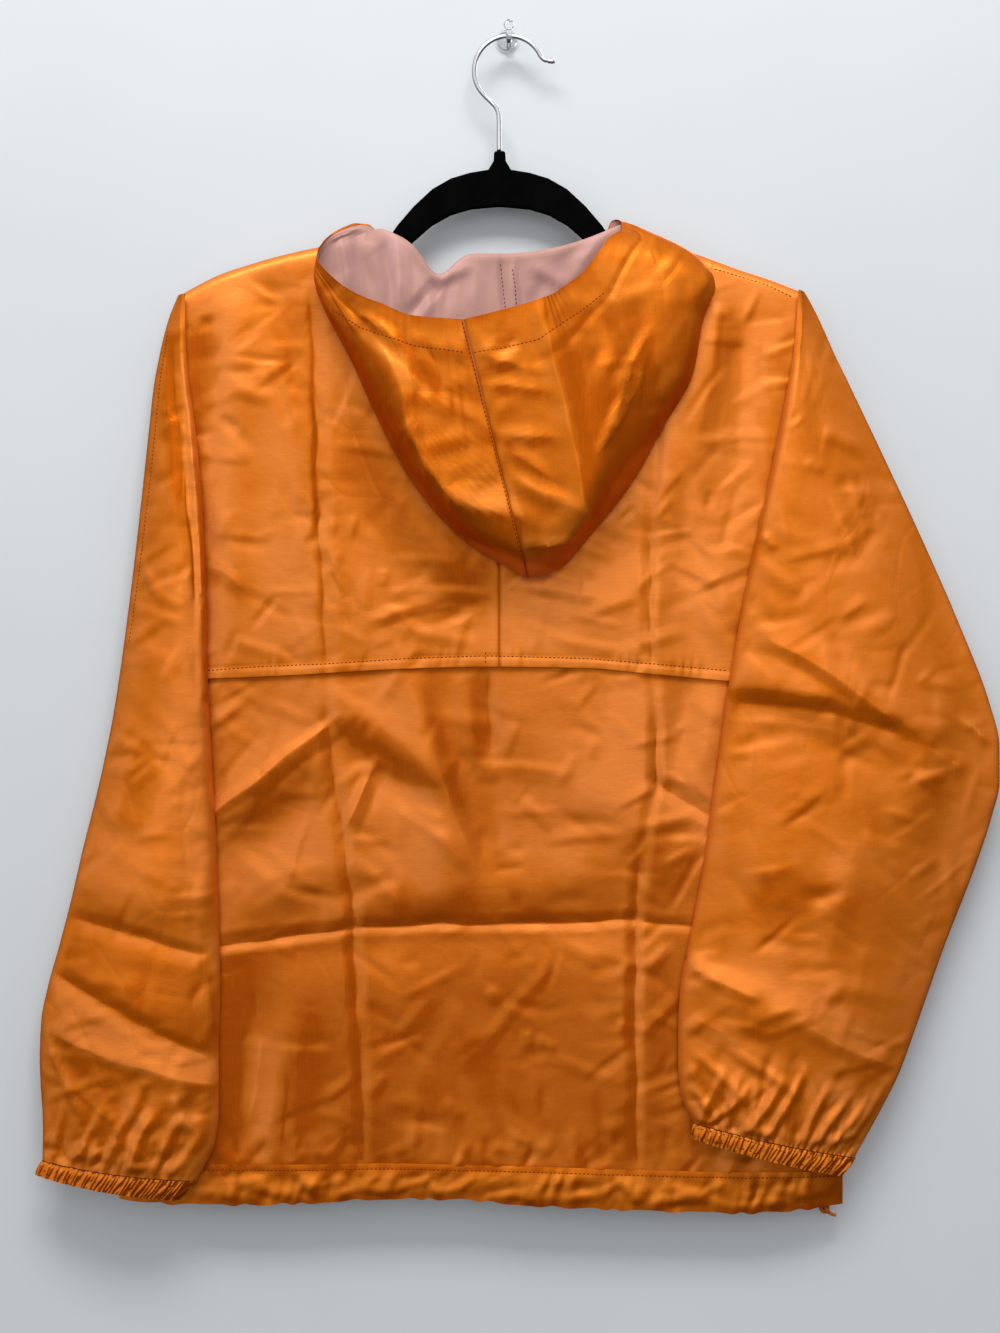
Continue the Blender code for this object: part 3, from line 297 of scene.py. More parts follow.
# Each hood half from the centre-front of the neck round to the centre-back seam. A row is one strip of the
# cloth from the neck seam to the face edge: the angle round the neck seam (0 front, 180 back), how far it
# folds down over the yoke, the fold at the foot of the bag (x, z, depth), the ridge where the bag's side
# turns into its face (share of the way up, depth), and the face edge (x, z, depth).
HOOD_COLUMNS = (
    "neck_angle", "hangs", "fold_x", "fold_z", "fold_depth",
    "ridge", "ridge_depth", "rim_x", "rim_z", "rim_depth",
)
HOODS = {
    "left": (
        (0, 0.0, -0.0060, -0.2280, 0.0108, 0.50, 0.0108, -0.0060, -0.2140, 0.0112),
        (28, 0.0, -0.0520, -0.2080, 0.0112, 0.50, 0.0112, -0.0520, -0.1880, 0.0118),
        (52, 0.0, -0.0840, -0.1780, 0.0125, 0.50, 0.0125, -0.0860, -0.1580, 0.0128),
        (72, 0.0, -0.0950, -0.1490, 0.0132, 0.50, 0.0140, -0.1090, -0.1425, 0.0150),
        (84, 0.0, -0.1010, -0.1460, 0.0210, 0.50, 0.0230, -0.1236, -0.1490, 0.0260),
        (94, 0.5, -0.1380, -0.1640, 0.0340, 0.50, 0.0350, -0.1350, -0.1600, 0.0370),
        (104, 0.9, -0.1435, -0.1870, 0.0390, 0.50, 0.0450, -0.1400, -0.1740, 0.0490),
        (114, 1.0, -0.1370, -0.2080, 0.0380, 0.50, 0.0520, -0.1260, -0.1930, 0.0590),
        (124, 1.0, -0.1168, -0.2465, 0.0370, 0.55, 0.0640, -0.1080, -0.2060, 0.0680),
        (134, 1.0, -0.0920, -0.3000, 0.0375, 0.60, 0.0760, -0.0900, -0.2140, 0.0740),
        (146, 1.0, -0.0640, -0.3480, 0.0385, 0.26, 0.0800, -0.0700, -0.2225, 0.0770),
        (158, 1.0, -0.0339, -0.3805, 0.0400, 0.18, 0.0790, -0.0540, -0.2245, 0.0790),
        (170, 1.0, -0.0080, -0.3980, 0.0420, 0.20, 0.0770, -0.0430, -0.2255, 0.0800),
        (180, 1.0, 0.0150, -0.4105, 0.0440, 0.25, 0.0760, -0.0320, -0.2262, 0.0805),
    ),
    "right": (
        (0, 0.0, -0.0050, -0.2280, 0.0108, 0.50, 0.0108, -0.0050, -0.2140, 0.0112),
        (28, 0.0, 0.0400, -0.2080, 0.0112, 0.50, 0.0112, 0.0400, -0.1880, 0.0118),
        (52, 0.0, 0.0700, -0.1780, 0.0125, 0.50, 0.0125, 0.0700, -0.1580, 0.0128),
        (72, 0.0, 0.0830, -0.1470, 0.0132, 0.50, 0.0140, 0.0800, -0.1400, 0.0150),
        (84, 0.0, 0.0950, -0.1430, 0.0220, 0.50, 0.0250, 0.0850, -0.1440, 0.0260),
        (96, 0.8, 0.1500, -0.1760, 0.0330, 0.50, 0.0400, 0.0850, -0.1520, 0.0380),
        (106, 1.0, 0.1545, -0.1930, 0.0350, 0.50, 0.0480, 0.0760, -0.1600, 0.0500),
        (116, 1.0, 0.1450, -0.2200, 0.0355, 0.50, 0.0540, 0.0660, -0.1740, 0.0590),
        (126, 1.0, 0.1380, -0.2580, 0.0360, 0.50, 0.0600, 0.0540, -0.1905, 0.0680),
        (136, 1.0, 0.1170, -0.2960, 0.0365, 0.50, 0.0690, 0.0410, -0.2010, 0.0740),
        (146, 1.0, 0.0930, -0.3390, 0.0375, 0.40, 0.0780, 0.0330, -0.2075, 0.0790),
        (156, 1.0, 0.0600, -0.3810, 0.0390, 0.14, 0.0840, 0.0240, -0.2115, 0.0820),
        (168, 1.0, 0.0380, -0.4040, 0.0410, 0.17, 0.0790, -0.0020, -0.2190, 0.0815),
        (180, 1.0, 0.0160, -0.4105, 0.0440, 0.25, 0.0760, -0.0310, -0.2262, 0.0805),
    ),
}

# The hanger's wire: straight shank with its bend to the left, then the tip after the round part (x, z).
HOOK_SHANK = (
    (-0.0060, -0.0892), (-0.0060, -0.0800), (-0.0060, -0.0700), (-0.0062, -0.0630),
    (-0.0080, -0.0570), (-0.0120, -0.0524), (-0.0165, -0.0480),
)
HOOK_TIP = ((0.0262, -0.0192), (0.0292, -0.0212), (0.0325, -0.0216), (0.0360, -0.0224))

# ---------------------------------------------------------------- sizes of the looks

SHELL = 0.0005
SEAM_LAPS = {"left": 0.0, "right": -0.0005}
# Spacing of each refined grid.
CELLS = {"back": 0.0023, "yoke": 0.0018, "front": 0.0070, "sleeve": 0.0021, "hood": 0.0018}

# Base grids: rows of the back and of the front, columns out to the neck point and past it, the shares of the
# neck's half width at which the front's columns lie, and how often a column's top is sought.
BACK_GRID = 60
FRONT_GRID = 30
TO_NECK_COLUMNS = 7
PAST_NECK_COLUMNS = 6
NECK_COLUMNS = (1, 0.97, 0.88, 0.70, 0.45, 0.20)
TOP_PASSES = 6

# How far the lower back reaches under the sleeves, and how far below the underarm it begins beyond that.
LOWER_BACK_UNDER_SLEEVE = {"left": 0.0080, "right": 0.0085}
LOWER_BACK_DROP = 0.0075

# ---------------------------------------------------------------- curves and body surfaces


def box_of(x, z):
    return x.min(), x.max(), z.min(), z.max()


def smooth(at, stations, values):
    """The smooth curve, or curves, through values at the rising stations, read at the points `at`.

    It never overshoots: a slope is the harmonic mean of its neighbours', or 0 at a peak.
    """
    stations = np.asarray(stations, float)
    values = np.asarray(values, float)
    at = np.clip(np.asarray(at, float), stations[0], stations[-1])
    curves = (1,) * (values.ndim - 1)
    secants = np.diff(values, axis=0) / np.diff(stations).reshape(-1, *curves)
    before, after = secants[:-1], secants[1:]
    agree = before * after > 0
    both = np.where(agree, before + after, 1.0)
    inner = np.where(agree, 2 * before * after / both, 0.0)
    slopes = np.concatenate([secants[:1], inner, secants[-1:]])
    step = np.clip(np.searchsorted(stations, at, side="right") - 1, 0, len(stations) - 2)
    width = (stations[step + 1] - stations[step]).reshape(at.shape + curves)
    t = (at - stations[step]).reshape(at.shape + curves) / width
    near = (1 + 2 * t) * (1 - t) ** 2 * values[step] + t * (1 - t) ** 2 * width * slopes[step]
    far = t * t * (3 - 2 * t) * values[step + 1] + t * t * (t - 1) * width * slopes[step + 1]
    return near + far


def column(table, index):
    return [row[index] for row in table]


def row_at(rows, names, at):
    """The table's values at the fractional row `at`, by column name."""
    stations = np.arange(len(rows))
    return {name: float(smooth(at, stations, column(rows, k))) for k, name in enumerate(names)}


def ease(value, start, end):
    """0 before start, 1 after end, and a smooth step between them."""
    t = np.clip((np.asarray(value, float) - start) / (end - start), 0.0, 1.0)
    return t * t * (3 - 2 * t)


def bell(offset, width):
    """1 where the offset is 0, and a soft fall to 0 over about two widths."""
    return np.exp(-((offset / width) ** 2))


def along_and_off(x, z, x0, z0, x1, z1):
    """Distance along the line, distance off it, and its length."""
    length = math.hypot(x1 - x0, z1 - z0)
    ax, az = (x1 - x0) / length, (z1 - z0) / length
    return (x - x0) * ax + (z - z0) * az, (x - x0) * az - (z - z0) * ax, length


def beside(run, length, outside, inside):
    """1 beside a line of that length, with ends that fade from `outside` before it to `inside` it."""
    return ease(run, -outside, inside) * (1 - ease(run, length - inside, length + outside))


def shoulder_z(x):
    return smooth(x, column(SHOULDER, 0), column(SHOULDER, 1))


def neck_share(x):
    """1 at the centre of the neck opening, 0 at the neck points and beyond."""
    across = (np.asarray(x, float) - CENTRE_X) / NECK_HALF
    return np.clip(1 - across**2, 0.0, 1.0)


def back_top_z(x):
    return shoulder_z(x) - BACK_NECK_DROP * neck_share(x)


def front_top_z(x):
    return shoulder_z(x) - FRONT_NECK_DROP * neck_share(x)


def side_x(z, side):
    """x of the body's left or right edge at height z."""
    rising = BODY_SIDES[::-1]
    return smooth(z, column(rising, 0), column(rising, 1 if side == "left" else 2))


def yoke_hem_z(x):
    return smooth(x, column(YOKE_HEM, 0), column(YOKE_HEM, 1))


def hem_z(x, edge):
    return smooth(x, column(HEM, 0), column(HEM, 1 if edge == "top" else 2))


def shoulder_round(below):
    """How far the cloth has turned from the shoulder line down the face of the hanger, 0 to 1."""
    share = np.clip(np.asarray(below, float) / SHOULDER_ROLL, 0.0, 1.0)
    return np.sqrt(1 - (1 - share) ** 2)


def edge_share(x, z):
    """1 at the side seams and 0 over most of the width. There is no such edge above the armpit."""
    left, right = side_x(z, "left"), side_x(z, "right")
    across = np.clip(np.abs((x - (left + right) / 2) / ((right - left) / 2)), 0.0, 1.0)
    return across**SIDE_POWER * ease(-np.asarray(z), -SIDE_CLOSING_Z, -UNDERARM_Z)


def back_folds(x, z):
    """How far the folds move the back towards the room at a point."""
    x, z = np.asarray(x, float), np.asarray(z, float)
    total = np.zeros(np.broadcast(x, z).shape)
    for x0, z0, x1, z1, rise, half_width in BACK_FOLDS:
        run, off, length = along_and_off(x, z, x0, z0, x1, z1)
        total = total + rise * bell(off, half_width) * beside(run, length, FOLD_FADE_OUT, FOLD_FADE_IN)
    return total


def layer_depth(x, z, way, swell):
    """Depth of a body layer on the room side (way 1) or the wall side (way -1) of the hanger."""
    below = np.maximum(shoulder_z(x) - z, 0.0)
    grown = swell * (1 - np.exp(-below / SWELL_FALL))
    depth = HANGER_DEPTH + way * (RIDGE_HALF + SHOULDER_HALF * shoulder_round(below) + grown)
    side = SIDE_DEPTH + way * SIDE_HALF
    return depth + (side - depth) * edge_share(x, z)


def yoke_depth(x, z):
    return layer_depth(x, z, 1, BACK_SWELL) + back_folds(x, z)


def lower_depth(x, z):
    """The lower back lies under the yoke, and both come to the same side seams."""
    return yoke_depth(x, z) - YOKE_LIFT * (1 - edge_share(x, z))


def front_depth(x, z):
    return layer_depth(x, z, -1, FRONT_SWELL)


def cover_depth(x, z):
    """Depth of whatever layer of the back lies outermost, yoke or lower back."""
    start, end = YOKE_EDGE_FADE
    on_yoke = ease(np.asarray(z), yoke_hem_z(x) - start, yoke_hem_z(x) - end)
    return lower_depth(x, z) + (yoke_depth(x, z) - lower_depth(x, z)) * on_yoke


def armhole_x(z, side):
    """x of the sleeve's inner fold, which lies on the back's armhole seam."""
    rows = SLEEVES[side][: UNDERARM_ROW + 1][::-1]
    return smooth(z, column(rows, 1), column(rows, 0))


# ---------------------------------------------------------------- base grids, as the CAD solids' middles


def panel(columns, x_of, top_z, bottom_z, depth, lower_rows):
    """Points of a body panel. x_of(u, z) gives x; the rows are close together at the top edge."""
    top_x = [x_of(u, SHOULDER[0][1]) for u in columns]
    for _ in range(TOP_PASSES):
        top_x = [float(x_of(u, top_z(x))) for u, x in zip(columns, top_x)]
    tops = np.array([float(top_z(x)) for x in top_x])
    lows = np.array([float(bottom_z(x_of(u, UNDERARM_Z))) for u in columns])
    heights = [tops - below for below in TOP_ROWS]
    heights += [
        (tops - TOP_ROWS[-1]) * (1 - share) + lows * share
        for share in np.linspace(0, 1, lower_rows + 1)[1:]
    ]
    grid = []
    for row in heights:
        x = np.array([float(x_of(u, z)) for u, z in zip(columns, row)])
        grid.append(np.stack([x, row, depth(x, row)], axis=1))
    return np.array(grid)


def yoke_grid(side):
    outward = OUTWARD[side]
    seam_x = CENTRE_X + outward * SEAM_LAPS[side]

    def x_of(u, z):
        start, end = ARMHOLE_LAP_FROM_Z
        lap = ARMHOLE_TIP_LAP + ARMHOLE_LAP * ease(-z, -start, -end)
        return (armhole_x(z, side) + outward * lap) * (1 - u) + seam_x * u

    tip = float(armhole_x(SHOULDER[0][1], side))
    neck = 1 - NECK_HALF / abs(tip - CENTRE_X)
    columns = list(np.linspace(0, neck, TO_NECK_COLUMNS)) + [neck + 0.02, neck + 0.06]
    columns += list(np.linspace(neck + 0.12, 1, PAST_NECK_COLUMNS))
    return panel(columns, x_of, back_top_z, yoke_hem_z, yoke_depth, BACK_GRID)


def lower_back_grid():
    left_in = float(armhole_x(UNDERARM_Z, "left")) - LOWER_BACK_UNDER_SLEEVE["left"]
    right_in = float(armhole_x(UNDERARM_Z, "right")) + LOWER_BACK_UNDER_SLEEVE["right"]
    left, right = float(side_x(UNDERARM_Z, "left")), float(side_x(UNDERARM_Z, "right"))
    step = LOWER_BACK_STEP

    def share(x):
        return (x - left) / (right - left)

    columns = [0.0, 0.04, 0.08, share(left_in), share(left_in + step)]
    columns += list(np.linspace(share(left_in + step), share(right_in - step), BACK_GRID)[1:-1])
    columns += [share(right_in - step), share(right_in), 0.90, 0.95, 1.0]
    columns = np.array(columns)
    x_top = left + (right - left) * columns
    inside = (left_in + step / 2 < x_top) & (x_top < right_in - step / 2)
    z_top = np.where(inside, yoke_hem_z(0.0) + YOKE_UNDERLAP, UNDERARM_Z - LOWER_BACK_DROP)
    z_bottom = hem_z(x_top, "top") + SEAM_GAP / 2
    grid = []
    for r in np.linspace(0, 1, BACK_GRID):
        z = z_top + (z_bottom - z_top) * r
        x = side_x(z, "left") * (1 - columns) + side_x(z, "right") * columns
        grid.append(np.stack([x, z, lower_depth(x, z)], axis=1))
    return np.array(grid)


def front_grid():
    def x_of(u, z):
        return side_x(z, "left") * (1 - u) + side_x(z, "right") * u

    width = SHOULDER[-1][0] - SHOULDER[0][0]
    middle = (CENTRE_X - SHOULDER[0][0]) / width
    neck = NECK_HALF / width
    half = [neck * share for share in NECK_COLUMNS]
    columns = list(np.linspace(0, middle - neck, TO_NECK_COLUMNS))[:-1]
    columns += [middle - step for step in half] + [middle + step for step in half[::-1]]
    columns += list(np.linspace(middle + neck, 1, TO_NECK_COLUMNS))[1:]

    def bottom_z(x):
        return hem_z(x, "top") + SEAM_GAP / 2

    return panel(columns, x_of, front_top_z, bottom_z, front_depth, FRONT_GRID)


def hem_grid(face, columns, rows):
    """The casing's band, before its gathers: shares along the hem and down the band."""
    depth = lower_depth if face == "back" else front_depth
    left, right = float(side_x(HEM[0][1], "left")), float(side_x(HEM[0][1], "right"))
    x = left + (right - left) * np.linspace(0, 1, columns)
    top = hem_z(x, "top") - SEAM_GAP / 2
    low = hem_z(x, "bottom")
    grid = []
    for share in np.linspace(0, 1, rows):
        z = top + (low - top) * share
        grid.append(np.stack([x, z, depth(x, z)], axis=1))
    return np.array(grid)


OPEN_COLUMNS = 2 + SLEEVE_ACROSS + 1 + 1 + SLEEVE_OUTER_WALL + 1


def sleeve_ring(side, section, below_underarm):
    """One ring: inner fold, outer layer, outer fold, then the wall layer back to the inner fold.

    Above the underarm the ring ends at the front armhole seam, and its last columns aren't used.
    """
    outward = OUTWARD[side]
    inner = np.array([section["inner_x"], section["inner_z"]])
    outer = np.array([section["outer_x"], section["outer_z"]])

    def across(q):
        x, z = inner + (outer - inner) * q
        return float(x), float(z)

    def room_depth(q):
        x, z = across(0.0)
        start = float(cover_depth(x, z)) + section["lift"] + 2 * FOLD_HALF
        end = section["outer_depth"] + FOLD_HALF
        return start + (end - start) * q + section["swell"] * math.sin(math.pi * q) ** SLEEVE_FULLNESS

    def body_depth(q):
        """Just off the body's back, and level with its side seam beyond that."""
        x, z = across(q)
        return float(cover_depth(x, z)) + section["lift"]

    x0, z0 = across(0.0)
    tuck = min(SLEEVE_TUCK, abs(outer[0] - inner[0]) * TUCK_SHARE)
    start_depth = float(cover_depth(x0, z0)) + section["lift"]
    ring = [
        (x0 + outward * tuck, z0, start_depth),
        (x0, z0, start_depth + FOLD_HALF),
    ]
    first = tuck / max(abs(outer[0] - inner[0]), 1e-6)
    for q in np.linspace(first, 1 - first / 2, SLEEVE_ACROSS + 1):
        x, z = across(q)
        ring.append((x, z, room_depth(q)))
    x1, z1 = across(1.0)
    ring.append((x1, z1, section["outer_depth"]))

    seam_x = float(side_x(z1, side)) - outward * SEAM_LAP
    seam_q = min(1 - SEAM_ROOM, max(SEAM_ROOM, (seam_x - inner[0]) / (outer[0] - inner[0])))
    wall_start = section["outer_depth"] - FOLD_HALF
    for k, q in enumerate(np.linspace(1 - first / 2, seam_q, SLEEVE_OUTER_WALL + 1)):
        x, z = across(q)
        share = k / SLEEVE_OUTER_WALL
        if below_underarm:
            end = body_depth(seam_q)
        else:
            end = float(front_depth(seam_x, z)) + LAP_RISE
            x += (seam_x - across(seam_q)[0]) * share
        ring.append((x, z, wall_start + (end - wall_start) * share))
    for q in np.linspace(seam_q, first, SLEEVE_INNER_WALL + 1)[1:-1]:
        x, z = across(q)
        ring.append((x, z, body_depth(q)))
    return ring


def sleeve_grid(side):
    stations = list(np.linspace(0, UNDERARM_ROW, ROWS_ABOVE + 1))
    stations += list(np.linspace(UNDERARM_ROW, len(SLEEVES[side]) - 1, ROWS_BELOW + 1)[1:])
    grid = []
    for at in stations:
        section = row_at(SLEEVES[side], SLEEVE_COLUMNS, at)
        grid.append(sleeve_ring(side, section, at >= UNDERARM_ROW - 1e-6))
    return np.array(grid)


def cuff_rings(side):
    """The cuff's upper and lower ring, as closed lines of points."""
    last = row_at(SLEEVES[side], SLEEVE_COLUMNS, len(SLEEVES[side]) - 1)
    edge = dict(last)
    edge["inner_x"], edge["inner_z"], edge["outer_x"], edge["outer_z"] = CUFF_EDGES[side]
    return sleeve_ring(side, last, True), sleeve_ring(side, edge, True)


def evenly(ring, count):
    """count points at equal steps along the closed ring."""
    closed = np.array(ring + ring[:1])
    steps = np.concatenate([[0], np.cumsum(np.linalg.norm(np.diff(closed, axis=0), axis=1))])
    at = np.linspace(0, steps[-1], count, endpoint=False)
    return np.stack([np.interp(at, steps, closed[:, axis]) for axis in range(3)], axis=1)


def neck_point(angle, side):
    """x, z and depth of the neck seam, at an angle round it from centre front."""
    turn = math.radians(angle)
    outward = OUTWARD[side]
    tuck = NECK_TUCK * (1 - float(ease(angle, *NECK_TUCK_ENDS)))
    x = CENTRE_X + outward * ((NECK_HALF - tuck) * math.sin(turn) + SEAM_GAP / 2)
    if angle < 90:
        z = float(shoulder_z(x)) - FRONT_NECK_DROP * math.cos(turn) ** 2
        inside = LAP_RISE * min(1.0, 3 * math.cos(turn))
        return x, z - SEAM_LAP * math.cos(turn), float(front_depth(x, z)) + inside
    z = float(shoulder_z(x)) - BACK_NECK_DROP * math.cos(turn) ** 2
    return x, z + SEAM_GAP, float(yoke_depth(x, z))


def hood_strip(side, section):
    """Points of one strip of the hood, from the neck seam to the face edge."""
    x, z, depth = neck_point(section["neck_angle"], side)
    z += SEAM_GAP + CLOTH_WALL / 2
    fold = np.array([section["fold_x"], section["fold_z"]])
    rim = np.array([section["rim_x"], section["rim_z"]])
    off = HOOD_OFF_YOKE + CLOTH_WALL / 2
    hanging = [(x, z + HOOD_NECK_ROLL * up, depth + off * out) for up, out in HOOD_ROLL]
    top = np.array([x, z - HOOD_BELOW_ROLL])
    for k in range(HOOD_FAR):
        w = k / HOOD_FAR
        px, pz = top + (fold - top) * w
        lies = float(yoke_depth(px, pz)) + HOOD_OFF_YOKE
        hanging.append((px, pz, lies + (section["fold_depth"] - lies) * w**HOOD_FOLD_POWER))
    hanging.append((fold[0], fold[1], section["fold_depth"]))
    ridge, rise = section["ridge"], section["ridge_depth"] - section["fold_depth"]
    for k in range(1, HOOD_NEAR + 1):
        w = (k / HOOD_NEAR) ** HOOD_ROW_POWER
        px, pz = fold + (rim - fold) * w
        if w < ridge:
            near = section["fold_depth"] + rise * math.sqrt(1 - (1 - w / ridge) ** 2)
        else:
            past = (w - ridge) / (1 - ridge)
            near = section["ridge_depth"] + (section["rim_depth"] - section["ridge_depth"]) * past
        hanging.append((px, pz, near))
    hanging = np.array(hanging)
    straight = []
    for k in range(len(hanging)):
        w = k / (len(hanging) - 1)
        start = np.array([x, z, depth])
        middle = np.array([fold[0], fold[1], section["fold_depth"]])
        end = np.array([rim[0], rim[1], section["rim_depth"]])
        straight.append(start * (1 - w) ** 2 + 2 * middle * w * (1 - w) + end * w * w)
    return hanging * section["hangs"] + np.array(straight) * (1 - section["hangs"])


def hood_grid(side):
    rows = HOODS[side]
    outward = OUTWARD[side]
    grid = []
    for at in np.linspace(0, len(rows) - 1, 2 * HOOD_STRIPS - 1):
        section = row_at(rows, HOOD_COLUMNS, at)
        section["hangs"] = min(1.0, max(0.0, section["hangs"]))
        strip = hood_strip(side, section)
        if at in (0, len(rows) - 1):
            strip[:, 0] += outward * SEAM_LAPS[side]
        grid.append(strip)
    return np.array(grid)


# ---------------------------------------------------------------- refining a grid


def finer_axis(grid, cell, wrap):
    """Refines the first axis to steps of about `cell`, and says where each old row now is."""
    if wrap:
        grid = np.concatenate([grid[-2:], grid, grid[:3]])
    steps = np.linalg.norm(np.diff(grid, axis=0), axis=2).mean(axis=1)
    stations = np.concatenate([[0.0], np.cumsum(np.maximum(steps, 1e-6))])
    first, last = (2, len(grid) - 3) if wrap else (0, len(grid) - 1)
    at, marks = [], []
    for k in range(first, last):
        pieces = max(1, int(round(steps[k] / cell)))
        marks.append(len(at))
        at += list(np.linspace(stations[k], stations[k + 1], pieces, endpoint=False))
    if not wrap:
        marks.append(len(at))
        at.append(stations[last])
    at = np.array(at)
    flat = grid.reshape(len(grid), -1)
    fine = smooth(at, stations, flat).reshape(len(at), *grid.shape[1:])
    return fine, np.array(marks), at - stations[first]


def refined(grid, cell, tube=False):
    """The grid at about `cell` spacing: points, marks of the old rows and columns, lengths along both."""
    fine, row_marks, down = finer_axis(grid, cell, False)
    turned, column_marks, along = finer_axis(fine.transpose(1, 0, 2), cell, tube)
    return turned.transpose(1, 0, 2).copy(), row_marks, column_marks, down, along


# ---------------------------------------------------------------- folds and creases

# Creases: the two ends in pixels, rise in mm towards the room, then the flanks' widths in mm: first the flank
# left of a falling line or below a line that runs right, then the other one.
BACK_CREASES = lines_seen(BACK_MM, (
    (310, 300, 316, 430, -1.3, 2.5, 8),
    (316, 420, 318, 520, -1.5, 2.5, 8),
    (318, 500, 326, 662, -1.3, 3, 8),
    (659, 400, 650, 560, -0.8, 5, 4),
    (650, 540, 650, 662, -1.0, 6, 3),
    (326, 672, 329, 740, -0.8, 4, 4),
    (326, 720, 342, 840, -1.2, 4, 7),
    (340, 815, 352, 905, -1.6, 6, 3),
    (351, 890, 355, 1000, -1.8, 4, 6),
    (355, 980, 361, 1090, -1.4, 3, 6),
    (360, 1070, 364, 1168, -1.0, 4, 4),
    (652, 672, 656, 740, -0.8, 4, 4),
    (656, 725, 657, 790, -1.6, 5, 3),
    (655, 780, 640, 880, -0.9, 5, 4),
    (638, 860, 635, 930, -1.3, 4, 5),
    (636, 915, 635, 1040, -1.7, 6, 3),
    (635, 1020, 637, 1168, -1.2, 5, 3),
    (205, 950, 290, 937, -1.6, 4, 7),
    (280, 939, 352, 928, -1.5, 3.5, 6),
    (352, 929, 440, 924, -1.2, 3, 5),
    (425, 925, 540, 925, -1.4, 3, 6),
    (520, 926, 640, 920, -1.5, 3.5, 5),
    (635, 920, 700, 929, -1.1, 3, 4),
    (205, 820, 262, 775, 2.2, 10, 3.5),
    (250, 784, 328, 724, 2.4, 9, 3.5),
    (224, 822, 262, 800, 0.8, 6, 4),
    (656, 784, 712, 817, -2.2, 5, 8),
    (656, 786, 620, 806, 0.7, 5, 3),
    (345, 828, 374, 768, 1.5, 7, 4),
    (352, 772, 376, 765, 0.7, 4, 4),
    (488, 672, 490, 752, -1.0, 10, 5),
    (487, 740, 500, 860, -0.6, 8, 8),
    (405, 672, 440, 770, 0.9, 9, 8),
    (436, 762, 474, 868, 1.0, 11, 6),
    (480, 766, 560, 772, 0.8, 8, 4),
    (520, 800, 548, 826, 0.7, 4, 4),
    (560, 812, 600, 838, -0.6, 4, 4),
    (430, 830, 470, 870, 0.6, 5, 5),
    (360, 865, 398, 905, 0.9, 6, 5),
    (236, 855, 300, 905, 0.7, 8, 6),
    (262, 1040, 250, 1120, 1.2, 8, 9),
    (288, 1070, 282, 1150, -1.0, 7, 6),
    (222, 1125, 246, 1168, -1.1, 6, 6),
    (556, 960, 470, 1060, 0.5, 5, 5),
    (480, 985, 540, 1030, 0.4, 5, 4),
    (380, 1060, 430, 1000, 0.5, 6, 5),
    (560, 1060, 612, 1080, 0.5, 5, 4),
    (500, 1075, 525, 1150, 0.6, 5, 6),
    (418, 1110, 412, 1160, 0.7, 5, 4),
    (645, 1030, 676, 1000, 0.8, 4, 6),
    (650, 965, 668, 948, 0.7, 4, 4),
    (600, 1095, 606, 1165, -0.7, 5, 5),
    (236, 388, 268, 398, 0.9, 5, 5),
    (222, 418, 250, 446, -0.7, 5, 5),
    (262, 300, 290, 420, 0.9, 11, 7),
    (206, 560, 244, 588, 1.0, 6, 5),
    (322, 536, 344, 584, 0.9, 6, 5),
    (372, 620, 440, 600, 0.8, 5, 5),
    (420, 590, 482, 596, 0.7, 5, 4),
    (400, 630, 470, 640, 0.5, 5, 5),
    (412, 520, 470, 590, 0.9, 12, 9),
    (546, 588, 602, 598, 0.8, 5, 5),
    (590, 612, 632, 600, 0.6, 4, 5),
    (676, 470, 700, 560, -0.8, 9, 7),
    (690, 590, 720, 640, 0.7, 7, 6),
    (720, 330, 700, 430, 0.9, 9, 9),
    (744, 330, 738, 470, -0.7, 8, 8),
    (206, 470, 236, 560, 0.8, 10, 8),
    (236, 640, 280, 655, 0.5, 5, 4),
    (560, 640, 620, 652, 0.5, 5, 4),
))

# Soft folds: the two ends in pixels, rise in mm from one side to the other, and half width in mm. The side
# that comes forward is left of a falling line or below a line that runs right, if the rise is above 0.
BACK_ROLLS = lines_seen(BACK_MM, (
    (334, 722, 442, 796, -2.2, 13),
    (425, 672, 470, 880, 2.4, 15),
    (470, 690, 486, 760, 1.6, 9),
    (216, 842, 320, 770, -1.7, 18),
    (205, 690, 214, 780, -1.4, 10),
    (356, 925, 470, 905, -0.6, 12),
    (480, 905, 640, 880, -0.5, 16),
    (250, 915, 345, 880, -0.8, 12),
    (560, 790, 700, 905, -0.8, 22),
    (700, 690, 690, 770, -1.5, 11),
    (235, 960, 225, 1130, 1.8, 14),
    (420, 960, 440, 1120, 1.2, 26),
    (560, 950, 590, 1130, -1.1, 26),
    (285, 1000, 262, 1140, -1.7, 13),
    (240, 260, 300, 440, 1.5, 18),
    (330, 300, 400, 560, -1.4, 24),
    (430, 600, 490, 560, -1.5, 22),
    (220, 330, 216, 650, -1.8, 12),
    (730, 300, 700, 520, 1.5, 18),
    (560, 600, 650, 560, 1.2, 20),
    (690, 520, 720, 660, -1.2, 16),
))

